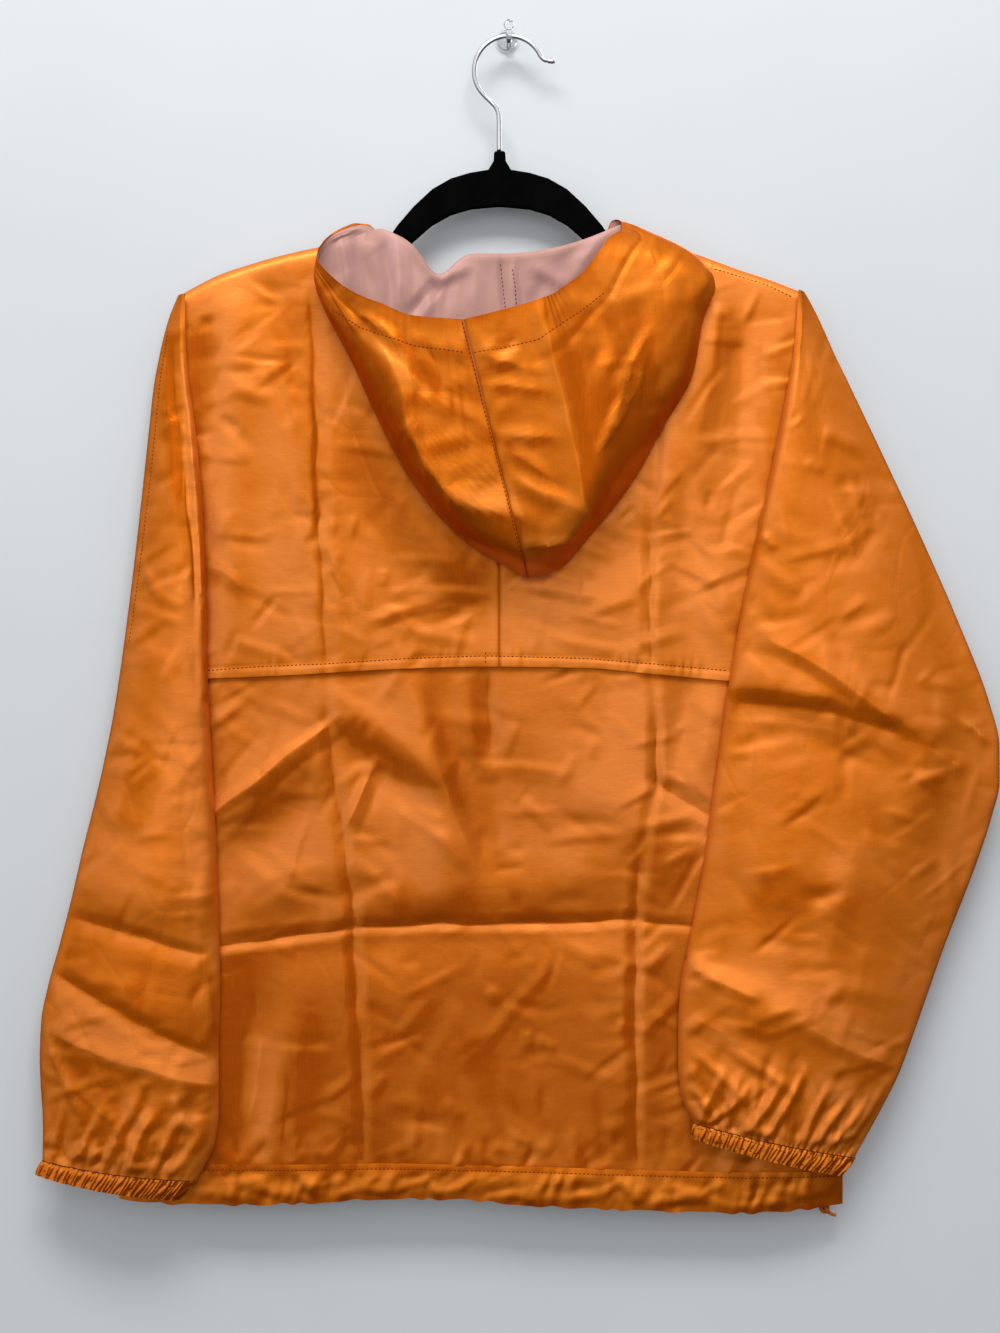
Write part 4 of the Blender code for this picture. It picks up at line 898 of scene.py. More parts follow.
SLEEVE_CREASES = {
    "right": lines_seen(SLEEVE_MM, (
        (772, 640, 856, 688, 2.6, 7, 14),
        (846, 684, 902, 728, 2.0, 6, 12),
        (734, 700, 832, 712, -2.2, 10, 8),
        (826, 711, 896, 731, -2.0, 9, 7),
        (890, 730, 948, 752, -1.3, 8, 6),
        (761, 534, 774, 548, 1.2, 4, 4),
        (756, 560, 800, 590, 0.8, 6, 5),
        (824, 431, 862, 448, 0.9, 5, 5),
        (911, 740, 966, 766, 1.0, 6, 6),
        (684, 962, 716, 982, 2.0, 5, 8),
        (708, 976, 758, 998, 1.6, 5, 9),
        (803, 1024, 852, 1050, 1.0, 7, 7),
        (845, 1046, 896, 1071, 1.0, 6, 6),
        (880, 740, 912, 830, 0.9, 12, 9),
        (800, 760, 830, 880, -0.8, 16, 12),
        (742, 840, 800, 920, 0.7, 14, 12),
        (860, 840, 826, 960, 0.8, 12, 10),
        (700, 1020, 760, 1060, 1.1, 8, 8),
        (740, 1030, 800, 1000, 0.8, 7, 8),
        (820, 980, 884, 1000, 0.8, 7, 7),
        (860, 600, 900, 650, 0.7, 10, 9),
        (800, 330, 822, 420, -0.8, 9, 7),
        (905, 500, 930, 600, 0.7, 10, 8),
        (970, 720, 994, 744, 1.2, 4, 5),
        (948, 860, 962, 905, 0.9, 5, 4),
        (930, 940, 950, 985, 0.9, 5, 4),
        (722, 760, 730, 860, 0.9, 8, 7),
        (760, 890, 790, 960, 0.6, 9, 8),
    )),
    "left": lines_seen(LEFT_SLEEVE_MM, (
        (169, 352, 182, 490, -1.6, 5, 6),
        (182, 470, 194, 600, -1.3, 5, 7),
        (186, 352, 197, 470, 1.8, 5, 5),
        (197, 455, 204, 600, 1.4, 5, 6),
        (204, 580, 206, 700, 1.0, 6, 5),
        (66, 920, 136, 936, -2.0, 8, 6),
        (130, 934, 206, 958, -1.8, 7, 5),
        (50, 974, 156, 1030, -2.1, 8, 6),
        (148, 1026, 216, 1067, -1.7, 7, 5),
        (50, 1036, 120, 1062, 1.4, 5, 7),
        (116, 1060, 216, 1087, 1.2, 5, 6),
        (40, 1036, 54, 1078, 1.6, 5, 4),
        (110, 850, 160, 880, 0.8, 8, 7),
        (140, 640, 180, 700, 0.9, 10, 7),
        (120, 700, 160, 740, -0.7, 8, 7),
        (150, 440, 176, 520, 0.8, 7, 6),
        (170, 730, 206, 790, 0.9, 9, 7),
        (96, 800, 150, 830, 0.7, 8, 8),
        (160, 860, 214, 900, 0.8, 8, 7),
        (90, 980, 130, 990, 0.7, 6, 6),
        (70, 1090, 110, 1120, 1.2, 7, 7),
        (120, 1080, 150, 1130, 1.3, 7, 7),
        (170, 1090, 200, 1140, 1.3, 7, 7),
        (60, 1010, 80, 1060, 0.9, 6, 6),
        (204, 980, 216, 1030, 1.0, 5, 4),
    )),
}
# The folds that the elastic draws in above the cuffs.
SLEEVE_GATHERS = {
    "right": lines_seen(SLEEVE_MM, (
        (697, 1126, 722, 1076, 1.6, 4, 3),
        (706, 1129, 746, 1090, 1.5, 3, 4),
        (716, 1132, 711, 1094, -1.2, 3, 3),
        (724, 1134, 738, 1080, 1.4, 4, 3),
        (735, 1138, 724, 1100, -1.2, 3, 3),
        (742, 1138, 780, 1084, 1.8, 4, 4),
        (756, 1142, 750, 1104, 1.2, 3, 3),
        (764, 1144, 800, 1078, 1.8, 4, 3),
        (775, 1147, 771, 1118, -1.2, 3, 3),
        (788, 1149, 786, 1108, 1.3, 3, 4),
        (796, 1152, 826, 1092, 1.6, 4, 3),
        (806, 1154, 850, 1100, 1.8, 4, 4),
        (818, 1157, 812, 1122, -1.1, 3, 3),
        (826, 1158, 868, 1104, 1.8, 4, 3),
        (838, 1160, 884, 1096, 1.5, 4, 4),
        (700, 1056, 744, 1100, 1.5, 4, 5),
        (734, 1050, 794, 1092, 1.4, 5, 4),
        (770, 1058, 758, 1112, -1.2, 4, 4),
        (694, 1092, 720, 1122, 1.2, 3, 4),
        (800, 1060, 822, 1110, 1.3, 4, 4),
        (690, 1068, 704, 1110, 1.2, 3, 4),
    )),
    "left": lines_seen(LEFT_SLEEVE_MM, (
        (48, 1163, 62, 1108, 1.5, 3, 4),
        (60, 1165, 58, 1124, -1.2, 3, 3),
        (72, 1166, 98, 1116, 1.6, 4, 3),
        (84, 1167, 78, 1128, 1.2, 3, 3),
        (94, 1168, 100, 1120, 1.4, 3, 3),
        (104, 1170, 130, 1112, 1.7, 4, 4),
        (116, 1172, 110, 1134, -1.2, 3, 3),
        (126, 1174, 150, 1118, 1.5, 4, 3),
        (138, 1177, 134, 1138, 1.2, 3, 3),
        (148, 1180, 178, 1124, 1.6, 4, 4),
        (160, 1183, 156, 1144, -1.1, 3, 3),
        (168, 1185, 200, 1134, 1.5, 4, 4),
        (100, 1090, 120, 1136, 1.4, 4, 4),
        (150, 1090, 132, 1140, -1.3, 4, 5),
        (60, 1080, 84, 1120, 1.3, 4, 4),
    )),
}
SLEEVE_TOP_RISE = {"left": 0.0095, "right": 0.0085}

SLEEVE_ROLLS = {
    "right": lines_seen(SLEEVE_MM, (
        (735, 690, 900, 745, -2.6, 16),
        (700, 1000, 860, 1060, -1.1, 24),
        (790, 340, 760, 560, -1.4, 14),
        (900, 560, 940, 690, 1.2, 20),
        (960, 700, 930, 860, 1.4, 16),
        (690, 960, 790, 1010, 1.4, 14),
        (740, 880, 880, 930, -1.2, 26),
    )),
    "left": lines_seen(LEFT_SLEEVE_MM, (
        (60, 900, 210, 930, -1.8, 18),
        (70, 1000, 200, 1050, -1.6, 16),
        (150, 620, 130, 820, 1.6, 16),
        (190, 700, 204, 900, -1.4, 14),
        (60, 1040, 190, 1110, -1.5, 18),
    )),
}

# The hood's outer face.
HOOD_CREASES = lines_seen(HOOD_MM, (
    (538, 306, 552, 350, 1.6, 8, 9),
    (551, 345, 568, 425, 1.8, 8, 10),
    (567, 418, 588, 517, 1.8, 8, 10),
    (588, 517, 520, 485, 1.2, 6, 7),
    (383, 352, 405, 398, 1.4, 6, 8),
    (404, 392, 409, 440, 1.8, 6, 8),
    (408, 432, 428, 472, 1.8, 6, 8),
    (426, 466, 455, 503, 2.0, 7, 8),
    (452, 500, 524, 518, 2.4, 7, 8),
    (404, 394, 450, 410, 0.95, 4, 4),
    (446, 408, 494, 430, 0.98, 4, 5),
    (424, 450, 460, 438, 0.9, 5, 5),
    (455, 438, 500, 434, 0.9, 5, 5),
    (400, 352, 418, 392, 1.4, 6, 6),
    (430, 345, 442, 386, -1.2, 5, 5),
    (440, 388, 470, 378, 0.9, 4, 4),
    (452, 352, 474, 366, 1.0, 3, 4),
    (478, 352, 530, 372, 1.1, 4, 4),
    (482, 384, 552, 392, 1.2, 5, 4),
    (490, 410, 530, 396, 0.8, 4, 4),
    (506, 436, 556, 440, 1.3, 4, 5),
    (508, 450, 545, 476, 1.2, 5, 4),
    (514, 478, 560, 500, 1.2, 5, 4),
    (460, 498, 496, 466, 0.9, 5, 5),
    (450, 470, 500, 455, 0.8, 4, 5),
    (524, 548, 585, 544, 1.0, 4, 4),
    (600, 300, 622, 380, 0.9, 9, 7),
    (640, 300, 652, 352, -0.9, 8, 7),
    (648, 352, 640, 400, 1.1, 9, 8),
    (590, 398, 612, 440, 0.9, 8, 7),
    (600, 470, 640, 400, 0.9, 8, 8),
    (620, 330, 600, 392, 0.7, 8, 8),
    (560, 300, 700, 292, 0.4, 8, 8),
    (330, 290, 352, 330, 1.0, 5, 5),
    (402, 336, 420, 354, -0.7, 4, 4),
    (414, 338, 446, 352, 0.8, 4, 4),
    (430, 349, 468, 352, 0.7, 4, 4),
    (436, 356, 474, 366, -0.7, 4, 4),
    (418, 352, 440, 378, 0.9, 4, 4),
    (380, 322, 398, 344, 1.2, 3, 4),
    (445, 340, 464, 349, 1.0, 3, 3),
    (484, 356, 498, 342, 1.1, 3, 3),
    (502, 352, 516, 338, -1.0, 3, 3),
    (360, 314, 384, 332, 1.1, 3, 4),
    (496, 368, 520, 352, 1.0, 4, 4),
    (600, 455, 640, 386, 1.4, 5, 6),
    (612, 430, 636, 360, 1.1, 5, 5),
    (622, 384, 650, 330, 1.2, 5, 6),
    (346, 322, 372, 380, 0.8, 6, 5),
    (540, 250, 560, 300, 0.4, 5, 5),
))

# Painted light and shade: soft-edged patches of the cloth painted darker (below 0) or lighter: amount, edge
# softness in mm, corners in pixels. They paint the nylon's two-toned sheen: a painted highlight where it
# turns to the light, painted shade on its pressed and tilted parts.
BACK_PAINTED_LIGHT = patches_seen(BACK_MM, (
    (-0.16, 3.0, 422, 673, 489, 673, 491, 719, 505, 754, 552, 770, 505, 776, 493, 805, 505, 860, 528,
     915, 481, 860, 465, 817, 446, 770, 426, 711),
    (-0.36, 1.5, 330, 721, 359, 715, 387, 732, 410, 750, 438, 787, 410, 786, 379, 768, 347, 740),
    (0.06, 3.0, 214, 818, 269, 789, 328, 752, 336, 778, 316, 788, 304, 825, 269, 860, 241, 876, 216,
     862),
    (-0.20, 5.0, 352, 921, 390, 880, 430, 896, 480, 880, 500, 850, 544, 860, 568, 876, 600, 850, 634,
     837, 636, 922, 440, 922),
    (-0.34, 2.0, 350, 938, 440, 932, 540, 932, 638, 926, 640, 1170, 360, 1176),
    (-0.46, 2.0, 205, 956, 290, 943, 350, 937, 360, 1176, 205, 1176),
    (0.20, 14.0, 520, 300, 735, 280, 735, 660, 520, 660),
    (0.30, 12.0, 560, 690, 735, 690, 735, 910, 650, 820, 560, 820),
    (0.38, 9.0, 250, 1020, 270, 1040, 292, 1100, 286, 1150, 262, 1168, 246, 1130, 240, 1060),
    (-0.35, 5.0, 218, 1090, 232, 1085, 240, 1130, 236, 1165, 216, 1165),
    (0.30, 3.0, 296, 1150, 318, 1128, 332, 1130, 318, 1146, 300, 1160),
    (-0.25, 5.0, 276, 1096, 300, 1100, 316, 1120, 300, 1130, 282, 1120),
    (-0.18, 4.0, 640, 926, 712, 930, 712, 1180, 640, 1170),
    (-0.25, 3.0, 657, 815, 690, 824, 706, 860, 700, 920, 640, 920, 642, 860),
    (-0.45, 4.0, 206, 690, 216, 690, 222, 760, 228, 800, 206, 830),
    (-0.18, 5.0, 560, 770, 600, 800, 640, 790, 655, 800, 640, 860, 600, 850, 560, 820),
    (0.12, 6.0, 350, 800, 400, 775, 450, 800, 470, 850, 440, 880, 380, 870, 352, 840),
    (0.22, 4.0, 395, 1098, 452, 1000, 462, 1004, 412, 1104),
    (0.25, 3.0, 580, 1010, 640, 980, 640, 992, 590, 1024),
    (0.30, 1.5, 655, 950, 672, 940, 676, 950, 662, 962),
    (0.22, 4.0, 500, 1110, 540, 1130, 560, 1165, 510, 1160),
    (0.25, 3.0, 400, 1130, 440, 1120, 450, 1150, 410, 1160),
    (-0.20, 4.0, 455, 1030, 480, 1030, 520, 1110, 500, 1130, 470, 1090),
    (-0.20, 6.0, 560, 690, 600, 690, 610, 740, 580, 770, 556, 730),
    (-0.40, 8.0, 360, 410, 400, 490, 463, 548, 485, 562, 485, 597, 436, 579, 391, 553, 342, 490, 338,
     441),
    (-0.28, 5.0, 275, 303, 306, 298, 315, 387, 322, 508, 306, 508, 297, 419, 280, 374),
    (-0.50, 4.0, 186, 329, 208, 316, 221, 352, 204, 428, 208, 553, 206, 672, 192, 672),
    (-0.36, 7.0, 655, 490, 686, 410, 726, 298, 735, 329, 699, 428, 664, 526, 650, 579),
    (-0.40, 7.0, 775, 374, 793, 329, 793, 463, 748, 642, 735, 642, 766, 508),
    (-0.26, 8.0, 552, 570, 597, 544, 646, 508, 641, 553, 597, 588, 570, 597),
    (-0.16, 6.0, 369, 588, 427, 606, 489, 593, 480, 624, 400, 629),
    (-0.20, 4.0, 207, 555, 226, 570, 246, 584, 240, 600, 207, 585),
    (-0.16, 5.0, 590, 600, 640, 590, 650, 612, 610, 624),
    (0.14, 12.0, 220, 430, 300, 420, 312, 640, 226, 640),
    (0.10, 10.0, 500, 600, 640, 620, 645, 660, 500, 655),
))
# Painted light and shade of the sleeves, as above.
SLEEVE_PAINTED_LIGHT = {
    "right": patches_seen(SLEEVE_MM, (
        (-0.45, 1.2, 730, 691, 760, 690, 823, 700, 889, 716, 967, 766, 880, 728, 823, 712, 760, 706, 733,
         700),
        (-0.30, 3.0, 772, 642, 800, 648, 860, 690, 900, 722, 860, 714, 820, 690),
        (-0.22, 8.0, 817, 730, 921, 743, 941, 802, 921, 848, 824, 848, 778, 867, 745, 913, 790, 800),
        (-0.32, 5.0, 722, 965, 735, 925, 791, 939, 830, 887, 790, 861, 745, 913, 720, 935),
        (-0.25, 3.0, 732, 992, 791, 1015, 823, 1041, 895, 1074, 870, 1100, 800, 1070, 740, 1030),
        (0.16, 3.0, 686, 968, 732, 982, 791, 1004, 823, 1030, 895, 1064, 880, 1040, 800, 980, 740, 950),
        (-0.20, 6.0, 830, 900, 880, 880, 905, 930, 880, 1010, 840, 1000),
        (-0.30, 3.0, 690, 1060, 710, 1060, 730, 1110, 720, 1130, 696, 1120),
        (-0.26, 3.0, 760, 1080, 800, 1060, 830, 1110, 800, 1150, 780, 1120),
        (0.20, 4.0, 800, 1040, 850, 1070, 860, 1110, 830, 1110),
        (-0.16, 6.0, 808, 420, 850, 440, 880, 500, 850, 500, 815, 460),
        (-0.20, 3.0, 745, 530, 775, 520, 785, 545, 760, 565),
        (-0.16, 6.0, 930, 600, 960, 640, 985, 720, 960, 730, 935, 660),
    )),
    "left": patches_seen(LEFT_SLEEVE_MM, (
        (-0.38, 2.0, 69, 928, 203, 960, 213, 985, 216, 1054, 170, 1041, 53, 976),
        (0.28, 2.0, 49, 977, 170, 1045, 213, 1065, 216, 1083, 138, 1070, 56, 1037),
        (-0.34, 2.5, 59, 1043, 125, 1070, 209, 1089, 209, 1150, 160, 1160, 100, 1150, 52, 1130),
        (-0.42, 3.0, 160, 325, 177, 330, 182, 420, 184, 500, 170, 500, 160, 420),
        (0.35, 2.0, 180, 351, 191, 345, 196, 430, 196, 514, 188, 514, 183, 430),
        (-0.45, 2.0, 197, 440, 206, 520, 208, 700, 202, 700, 199, 560),
        (0.16, 12.0, 110, 560, 200, 560, 200, 900, 70, 900),
        (-0.25, 3.0, 124, 760, 150, 740, 160, 790, 140, 830, 118, 830),
        (-0.20, 4.0, 150, 850, 180, 830, 200, 880, 180, 910, 150, 890),
        (-0.16, 5.0, 140, 560, 165, 540, 175, 600, 150, 640, 135, 620),
        (0.30, 2.0, 120, 1090, 140, 1075, 150, 1120, 130, 1150),
        (0.25, 2.0, 56, 1060, 66, 1060, 70, 1110, 58, 1120),
        (0.22, 2.0, 170, 1095, 190, 1090, 200, 1130, 180, 1140),
    )),
}
# Painted light and shade of the hood, and of its pink lining near the neck.
HOOD_PAINTED_LIGHT = patches_seen(NECK_MM, (
    (-0.25, 3.0, 352, 246, 372, 262, 400, 300, 402, 322, 358, 300),
    (0.45, 3.0, 380, 240, 396, 226, 430, 282, 402, 314, 398, 270),
    (-0.80, 1.5, 428, 292, 438, 283, 446, 286, 432, 306),
    (0.05, 4.0, 440, 286, 478, 264, 500, 266, 500, 300, 440, 310),
    (-0.60, 3.0, 527, 268, 566, 289, 586, 262, 560, 262),
    (0.40, 3.0, 560, 258, 606, 224, 616, 232, 590, 256),
    (-0.50, 1.5, 499, 264, 504, 264, 510, 314, 505, 314),
    (-0.40, 1.5, 512, 270, 516, 270, 520, 312, 515, 312),
)) + patches_seen(HOOD_MM, (
    (-0.30, 1.5, 319, 297, 349, 326, 384, 358, 403, 391, 406, 417, 419, 452, 454, 505, 468, 537, 443,
     517, 407, 464, 372, 405, 343, 353),
    (-0.50, 1.2, 454, 508, 519, 519, 525, 552, 529, 560, 495, 548, 466, 536),
    (0.45, 1.2, 462, 534, 525, 561, 560, 568, 533, 582, 490, 560),
    (0.32, 1.5, 495, 461, 516, 493, 522, 517, 454, 506, 472, 479),
    (-0.42, 2.0, 398, 331, 419, 353, 440, 382, 437, 398, 422, 377, 404, 353),
    (0.32, 1.5, 357, 329, 387, 338, 407, 364, 433, 401, 404, 388, 387, 364),
    (-0.25, 1.5, 404, 389, 454, 406, 492, 433, 450, 414, 420, 402),
    (-0.28, 2.0, 420, 452, 443, 437, 492, 433, 500, 440, 460, 448, 430, 458),
    (-0.25, 2.0, 500, 436, 530, 440, 560, 436, 530, 448, 508, 446),
    (-0.22, 2.0, 484, 384, 520, 386, 552, 394, 520, 398, 492, 394),
    (0.16, 4.0, 500, 350, 546, 340, 556, 385, 510, 382),
    (-0.14, 5.0, 548, 310, 700, 280, 700, 420, 640, 480, 590, 520, 572, 430),
    (-0.22, 3.0, 589, 388, 620, 384, 642, 376, 651, 338, 668, 405, 640, 450, 613, 493, 590, 518, 580,
     479, 584, 420),
    (-0.25, 2.0, 560, 362, 575, 350, 590, 400, 584, 450, 574, 420),
    (0.30, 2.0, 612, 482, 640, 446, 656, 440, 632, 480, 606, 504),
    (0.20, 2.0, 524, 478, 560, 500, 586, 520, 540, 498),
    (-0.25, 2.0, 508, 446, 530, 462, 550, 480, 520, 470),
    (-0.15, 3.0, 690, 290, 712, 275, 706, 330, 680, 420, 668, 430, 684, 360),
    (0.20, 6.0, 590, 240, 640, 235, 700, 265, 660, 310, 610, 310),
))

# How far a painted patch's edge strays, in metres: a small ripple on a broad sway. An edge that is softer
# than the last value, in mm, strays in full, and a sharper one less.
EDGE_RIPPLE = 0.0014
EDGE_SWAY = 0.0030
FULL_STRAY_FROM = 4


def straying(x, z):
    ripple = np.sin(x * 310 + 1.5 * np.sin(z * 170)) + np.sin(z * 290 + 1.5 * np.sin(x * 190))
    sway = np.sin(x * 95 + 2 * np.sin(z * 61)) * np.sin(z * 83 + 2 * np.sin(x * 47))
    return EDGE_RIPPLE * ripple + EDGE_SWAY * sway


def painted_light_of(x, z, light_and_shade_patches):
    """The sum of the painted light and shade patches: a soft step at each polygon's edge."""
    total = np.zeros(x.shape)
    stray = straying(x, z)
    for amount, soft, *corners in light_and_shade_patches:
        distance = np.full(x.shape, np.inf)
        inside = np.zeros(x.shape, bool)
        for (x0, z0), (x1, z1) in zip(corners, corners[1:] + corners[:1]):
            run, off, length = along_and_off(x, z, x0, z0, x1, z1)
            beyond = run - np.clip(run, 0, length)
            distance = np.minimum(distance, np.hypot(beyond, off))
            between = (z0 > z) != (z1 > z)
            slant = x0 + (z - z0) * (x1 - x0) / ((z1 - z0) or 1e-9)
            inside ^= between & (x < slant)
        edge = np.where(inside, distance, -distance) + stray * min(1.0, soft / FULL_STRAY_FROM)
        total += amount / (1 + np.exp(-2 * edge / (soft * MM)))
    return total


# The side that the photo's light comes from, across and up.
BRIGHT_SIDE = (-0.6, 0.8)


def facing(grid):
    """How far each point of the grid faces the upper left, -1 to 1."""
    down, along = np.gradient(grid, axis=0), np.gradient(grid, axis=1)
    normal = np.cross(down, along)
    normal /= np.maximum(np.linalg.norm(normal, axis=2, keepdims=True), 1e-12)
    normal *= np.sign(normal[..., 2:3] + 1e-9)
    return normal[..., 0] * BRIGHT_SIDE[0] + normal[..., 1] * BRIGHT_SIDE[1]


# The lining inside the hood, above the near rim.
LINING_CREASES = lines_seen(LINING_MM, (
    (341, 240, 352, 292, 2.0, 3, 5),
    (356, 236, 372, 290, -1.6, 4, 5),
    (396, 228, 402, 312, 2.4, 5, 7),
    (384, 250, 392, 300, -1.4, 4, 4),
    (437, 284, 412, 316, -2.4, 5, 5),
    (437, 286, 470, 268, 2.0, 4, 6),
    (430, 292, 428, 318, 1.5, 4, 4),
    (452, 276, 446, 312, -1.0, 4, 5),
    (478, 266, 474, 314, 1.0, 6, 6),
    (501, 263, 506, 314, -1.3, 2, 2),
    (513, 268, 518, 310, 1.3, 2, 2),
    (531, 270, 566, 290, 2.2, 4, 6),
    (545, 280, 530, 308, -1.0, 5, 5),
    (610, 222, 566, 288, 1.6, 6, 5),
    (590, 236, 560, 262, -1.3, 5, 5),
))

# Creases of at least this rise, in mm, are main creases. The grid's points are drawn to them from this far,
# the more the nearer they are, and the pull fades at a crease's ends from outside them to inside them.
MAIN_CREASE = 1.0
DRAWN_FROM = 0.0065
DRAWN_POWER = 1.7
DRAWN_ENDS = (0.004, 0.006)

# A crease's profile: how far its edge is rounded, how far its flanks reach in their widths, and the height
# below which they run out. Ends fade over a share of the length, and over no more than the second value.
MAIN_SOFTNESS = 0.0005
MINOR_SOFTNESS = 0.0010
FLANK_REACH = 1.5
FOOT = 0.2
CREASE_FADE_SHARE, CREASE_FADE = 0.3, 0.02
ROLL_FADE_SHARE, ROLL_FADE = 0.45, 0.04
CREASE_WANDER = 0.0007

# The painted line along a main crease: its painted highlight on a ridge and painted shade in a trough, its
# half width, and its ends' fade.
RIDGE_HIGHLIGHT = 0.22
TROUGH_SHADE = -0.38
LINE_WIDTH = 0.0012
LINE_ENDS = (0.002, 0.008)


def creased_line(x, z, x0, z0, x1, z1):
    """along_and_off() of a crease, which wanders a little off its straight line."""
    run, off, length = along_and_off(x, z, x0, z0, x1, z1)
    return run, off + CREASE_WANDER * np.sin(run * 95 + x0 * 700), length


def draw_to_creases(grid, creases, weight=1.0):
    """Draws the grid's points, in place, towards the main creases, so that their edges are sharp."""
    x, z = grid[..., 0].copy(), grid[..., 1].copy()
    nearest = np.full(x.shape, DRAWN_FROM)
    shift_x, shift_z = np.zeros(x.shape), np.zeros(x.shape)
    outside, inside = DRAWN_ENDS
    for x0, z0, x1, z1, rise, *_ in creases:
        if abs(rise) < MAIN_CREASE:
            continue
        run, off, length = creased_line(x, z, x0, z0, x1, z1)
        distance = np.abs(off)
        use = (distance < nearest) & (run > -outside) & (run < length + outside)
        nearest = np.where(use, distance, nearest)
        move = np.sign(off) * (DRAWN_FROM * (distance / DRAWN_FROM) ** DRAWN_POWER - distance)
        move = move * beside(run, length, outside, inside)
        shift_x = np.where(use, move * (z1 - z0) / length, shift_x)
        shift_z = np.where(use, -move * (x1 - x0) / length, shift_z)
    grid[..., 0] += shift_x * weight
    grid[..., 1] += shift_z * weight


def crease_relief(x, z, creases, softness=None):
    """The creases' rise: a peak with a rounded edge, and flanks that run out softly."""
    total = np.zeros(x.shape)
    for x0, z0, x1, z1, rise, first, second in creases:
        run, off, length = creased_line(x, z, x0, z0, x1, z1)
        sharp = softness or (MAIN_SOFTNESS if abs(rise) >= MAIN_CREASE else MINOR_SOFTNESS)
        width = np.where(off > 0, first, second) * MM
        peak = np.clip(1 - (np.sqrt(off**2 + sharp**2) - sharp) / (FLANK_REACH * width), 0, 1)
        peak = np.where(peak > FOOT, peak - FOOT / 2, peak**2 / (2 * FOOT)) / (1 - FOOT / 2)
        fade = min(CREASE_FADE_SHARE * length, CREASE_FADE)
        total += rise * MM * peak * beside(run, length, fade, fade)
    return total


def painted_crease_lines(x, z, creases):
    """Painted light along each main crease: a painted highlight on a ridge, painted shade in a trough."""
    total = np.zeros(x.shape)
    for x0, z0, x1, z1, rise, *_ in creases:
        if abs(rise) < MAIN_CREASE:
            continue
        run, off, length = creased_line(x, z, x0, z0, x1, z1)
        uneven = 0.6 + 0.4 * np.sin(run * 210 + x0 * 900)
        line = (RIDGE_HIGHLIGHT if rise > 0 else TROUGH_SHADE) * bell(off, LINE_WIDTH)
        total += line * beside(run, length, *LINE_ENDS) * uneven
    return total


def roll_relief(x, z, rolls):
    """The soft folds' rise: one side comes forward, the other goes back."""
    total = np.zeros(x.shape)
    for x0, z0, x1, z1, rise, half in rolls:
        run, off, length = along_and_off(x, z, x0, z0, x1, z1)
        across = off / (half * MM)
        fade = min(ROLL_FADE_SHARE * length, ROLL_FADE)
        ends = beside(run, length, fade, fade)
        total += rise * MM * across * np.exp(0.5 - 0.5 * across**2) * ends
    return total


# Small creases: the shortest, the share of the rise that they take, and their flanks' widths in mm.
SHORTEST = 0.010
RISE_SHARES = (0.3, 1.0)
FLANKS = (2, 6)


def crumple(x, z, seed, count, rise, steep, box=None, lean=0.0, spread=0.7, longest=0.045):
    """Small creases of uneven length, depth and direction, from a fixed seed, all over the grid or in a box.

    The share `steep` of them lean about the angle `lean`; the others run any way.
    """
    rng = np.random.default_rng(seed)
    x0, x1, z0, z1 = box or box_of(x, z)
    creases = []
    for _ in range(count):
        cx, cz = rng.uniform(x0, x1), rng.uniform(z0, z1)
        length = rng.uniform(SHORTEST, longest)
        turn = rng.normal(lean, spread) if rng.random() < steep else rng.uniform(0, math.pi)
        dx, dz = math.cos(turn) * length / 2, math.sin(turn) * length / 2
        height = rise * rng.uniform(*RISE_SHARES) * rng.choice((-1, 1))
        flanks = rng.uniform(*FLANKS), rng.uniform(*FLANKS)
        creases.append((cx - dx, cz - dz, cx + dx, cz + dz, height, *flanks))
    return crease_relief(x, z, creases)


# ---------------------------------------------------------------- objects and materials


def new_object(name, data):
    obj = bpy.data.objects.new(name, data)
    bpy.context.scene.collection.objects.link(obj)
    return obj


def principled(name):
    material = bpy.data.materials.new(name)
    material.use_nodes = True
    tree = material.node_tree
    return material, tree, tree.nodes["Principled BSDF"]


def feed(tree, node, inputs):
    """Sets the node's inputs, by name or number, or links another node's output to them."""
    for key, value in inputs.items():
        if isinstance(value, bpy.types.NodeSocket):
            tree.links.new(value, node.inputs[key])
        else:
            node.inputs[key].default_value = value


def new_node(tree, kind, inputs, output=0, **settings):
    """A new shader node's output."""
    node = tree.nodes.new("ShaderNode" + kind)
    for key, value in settings.items():
        setattr(node, key, value)
    feed(tree, node, inputs)
    return node.outputs[output]


def place(tree, scale):
    """Object coordinates, scaled."""
    where = new_node(tree, "TexCoord", {}, "Object")
    return new_node(tree, "Mapping", {"Vector": where, "Scale": scale})


def noise(tree, vector, scale, detail=2.0, rough=0.5, output="Fac"):
    inputs = {"Vector": vector, "Scale": scale, "Detail": detail, "Roughness": rough}
    return new_node(tree, "TexNoise", inputs, output)


def ranged(tree, value, low, high, out_low=0.0, out_high=1.0):
    inputs = {"Value": value, "From Min": low, "From Max": high, "To Min": out_low, "To Max": out_high}
    return new_node(tree, "MapRange", inputs)


def mixed(tree, factor, first, second):
    """A colour between the first and the second: each is a tuple or another node's output."""
    node = tree.nodes.new("ShaderNodeMix")
    node.data_type = "RGBA"
    feed(tree, node, {"Factor": factor})
    for name, colour in (("A", first), ("B", second)):
        number = [k for k, i in enumerate(node.inputs) if i.name == name and i.type == "RGBA"][0]
        feed(tree, node, {number: (*colour, 1.0) if isinstance(colour, tuple) else colour})
    return [o for o in node.outputs if o.type == "RGBA"][0]


def bumped(tree, height, distance, strength, normal=None):
    inputs = {"Height": height, "Distance": distance, "Strength": strength}
    if normal is not None:
        inputs["Normal"] = normal
    return new_node(tree, "Bump", inputs)


# Pressed crease lines: the stretch of their cells, bends and broad places per cell, and a line's width in
# cells.
FACET_STRETCH = (1.0, 0.4, 0.8)
BENDS_PER_CELL = 0.8
PLACES_PER_CELL = 0.22
FACET_LINE = 0.09


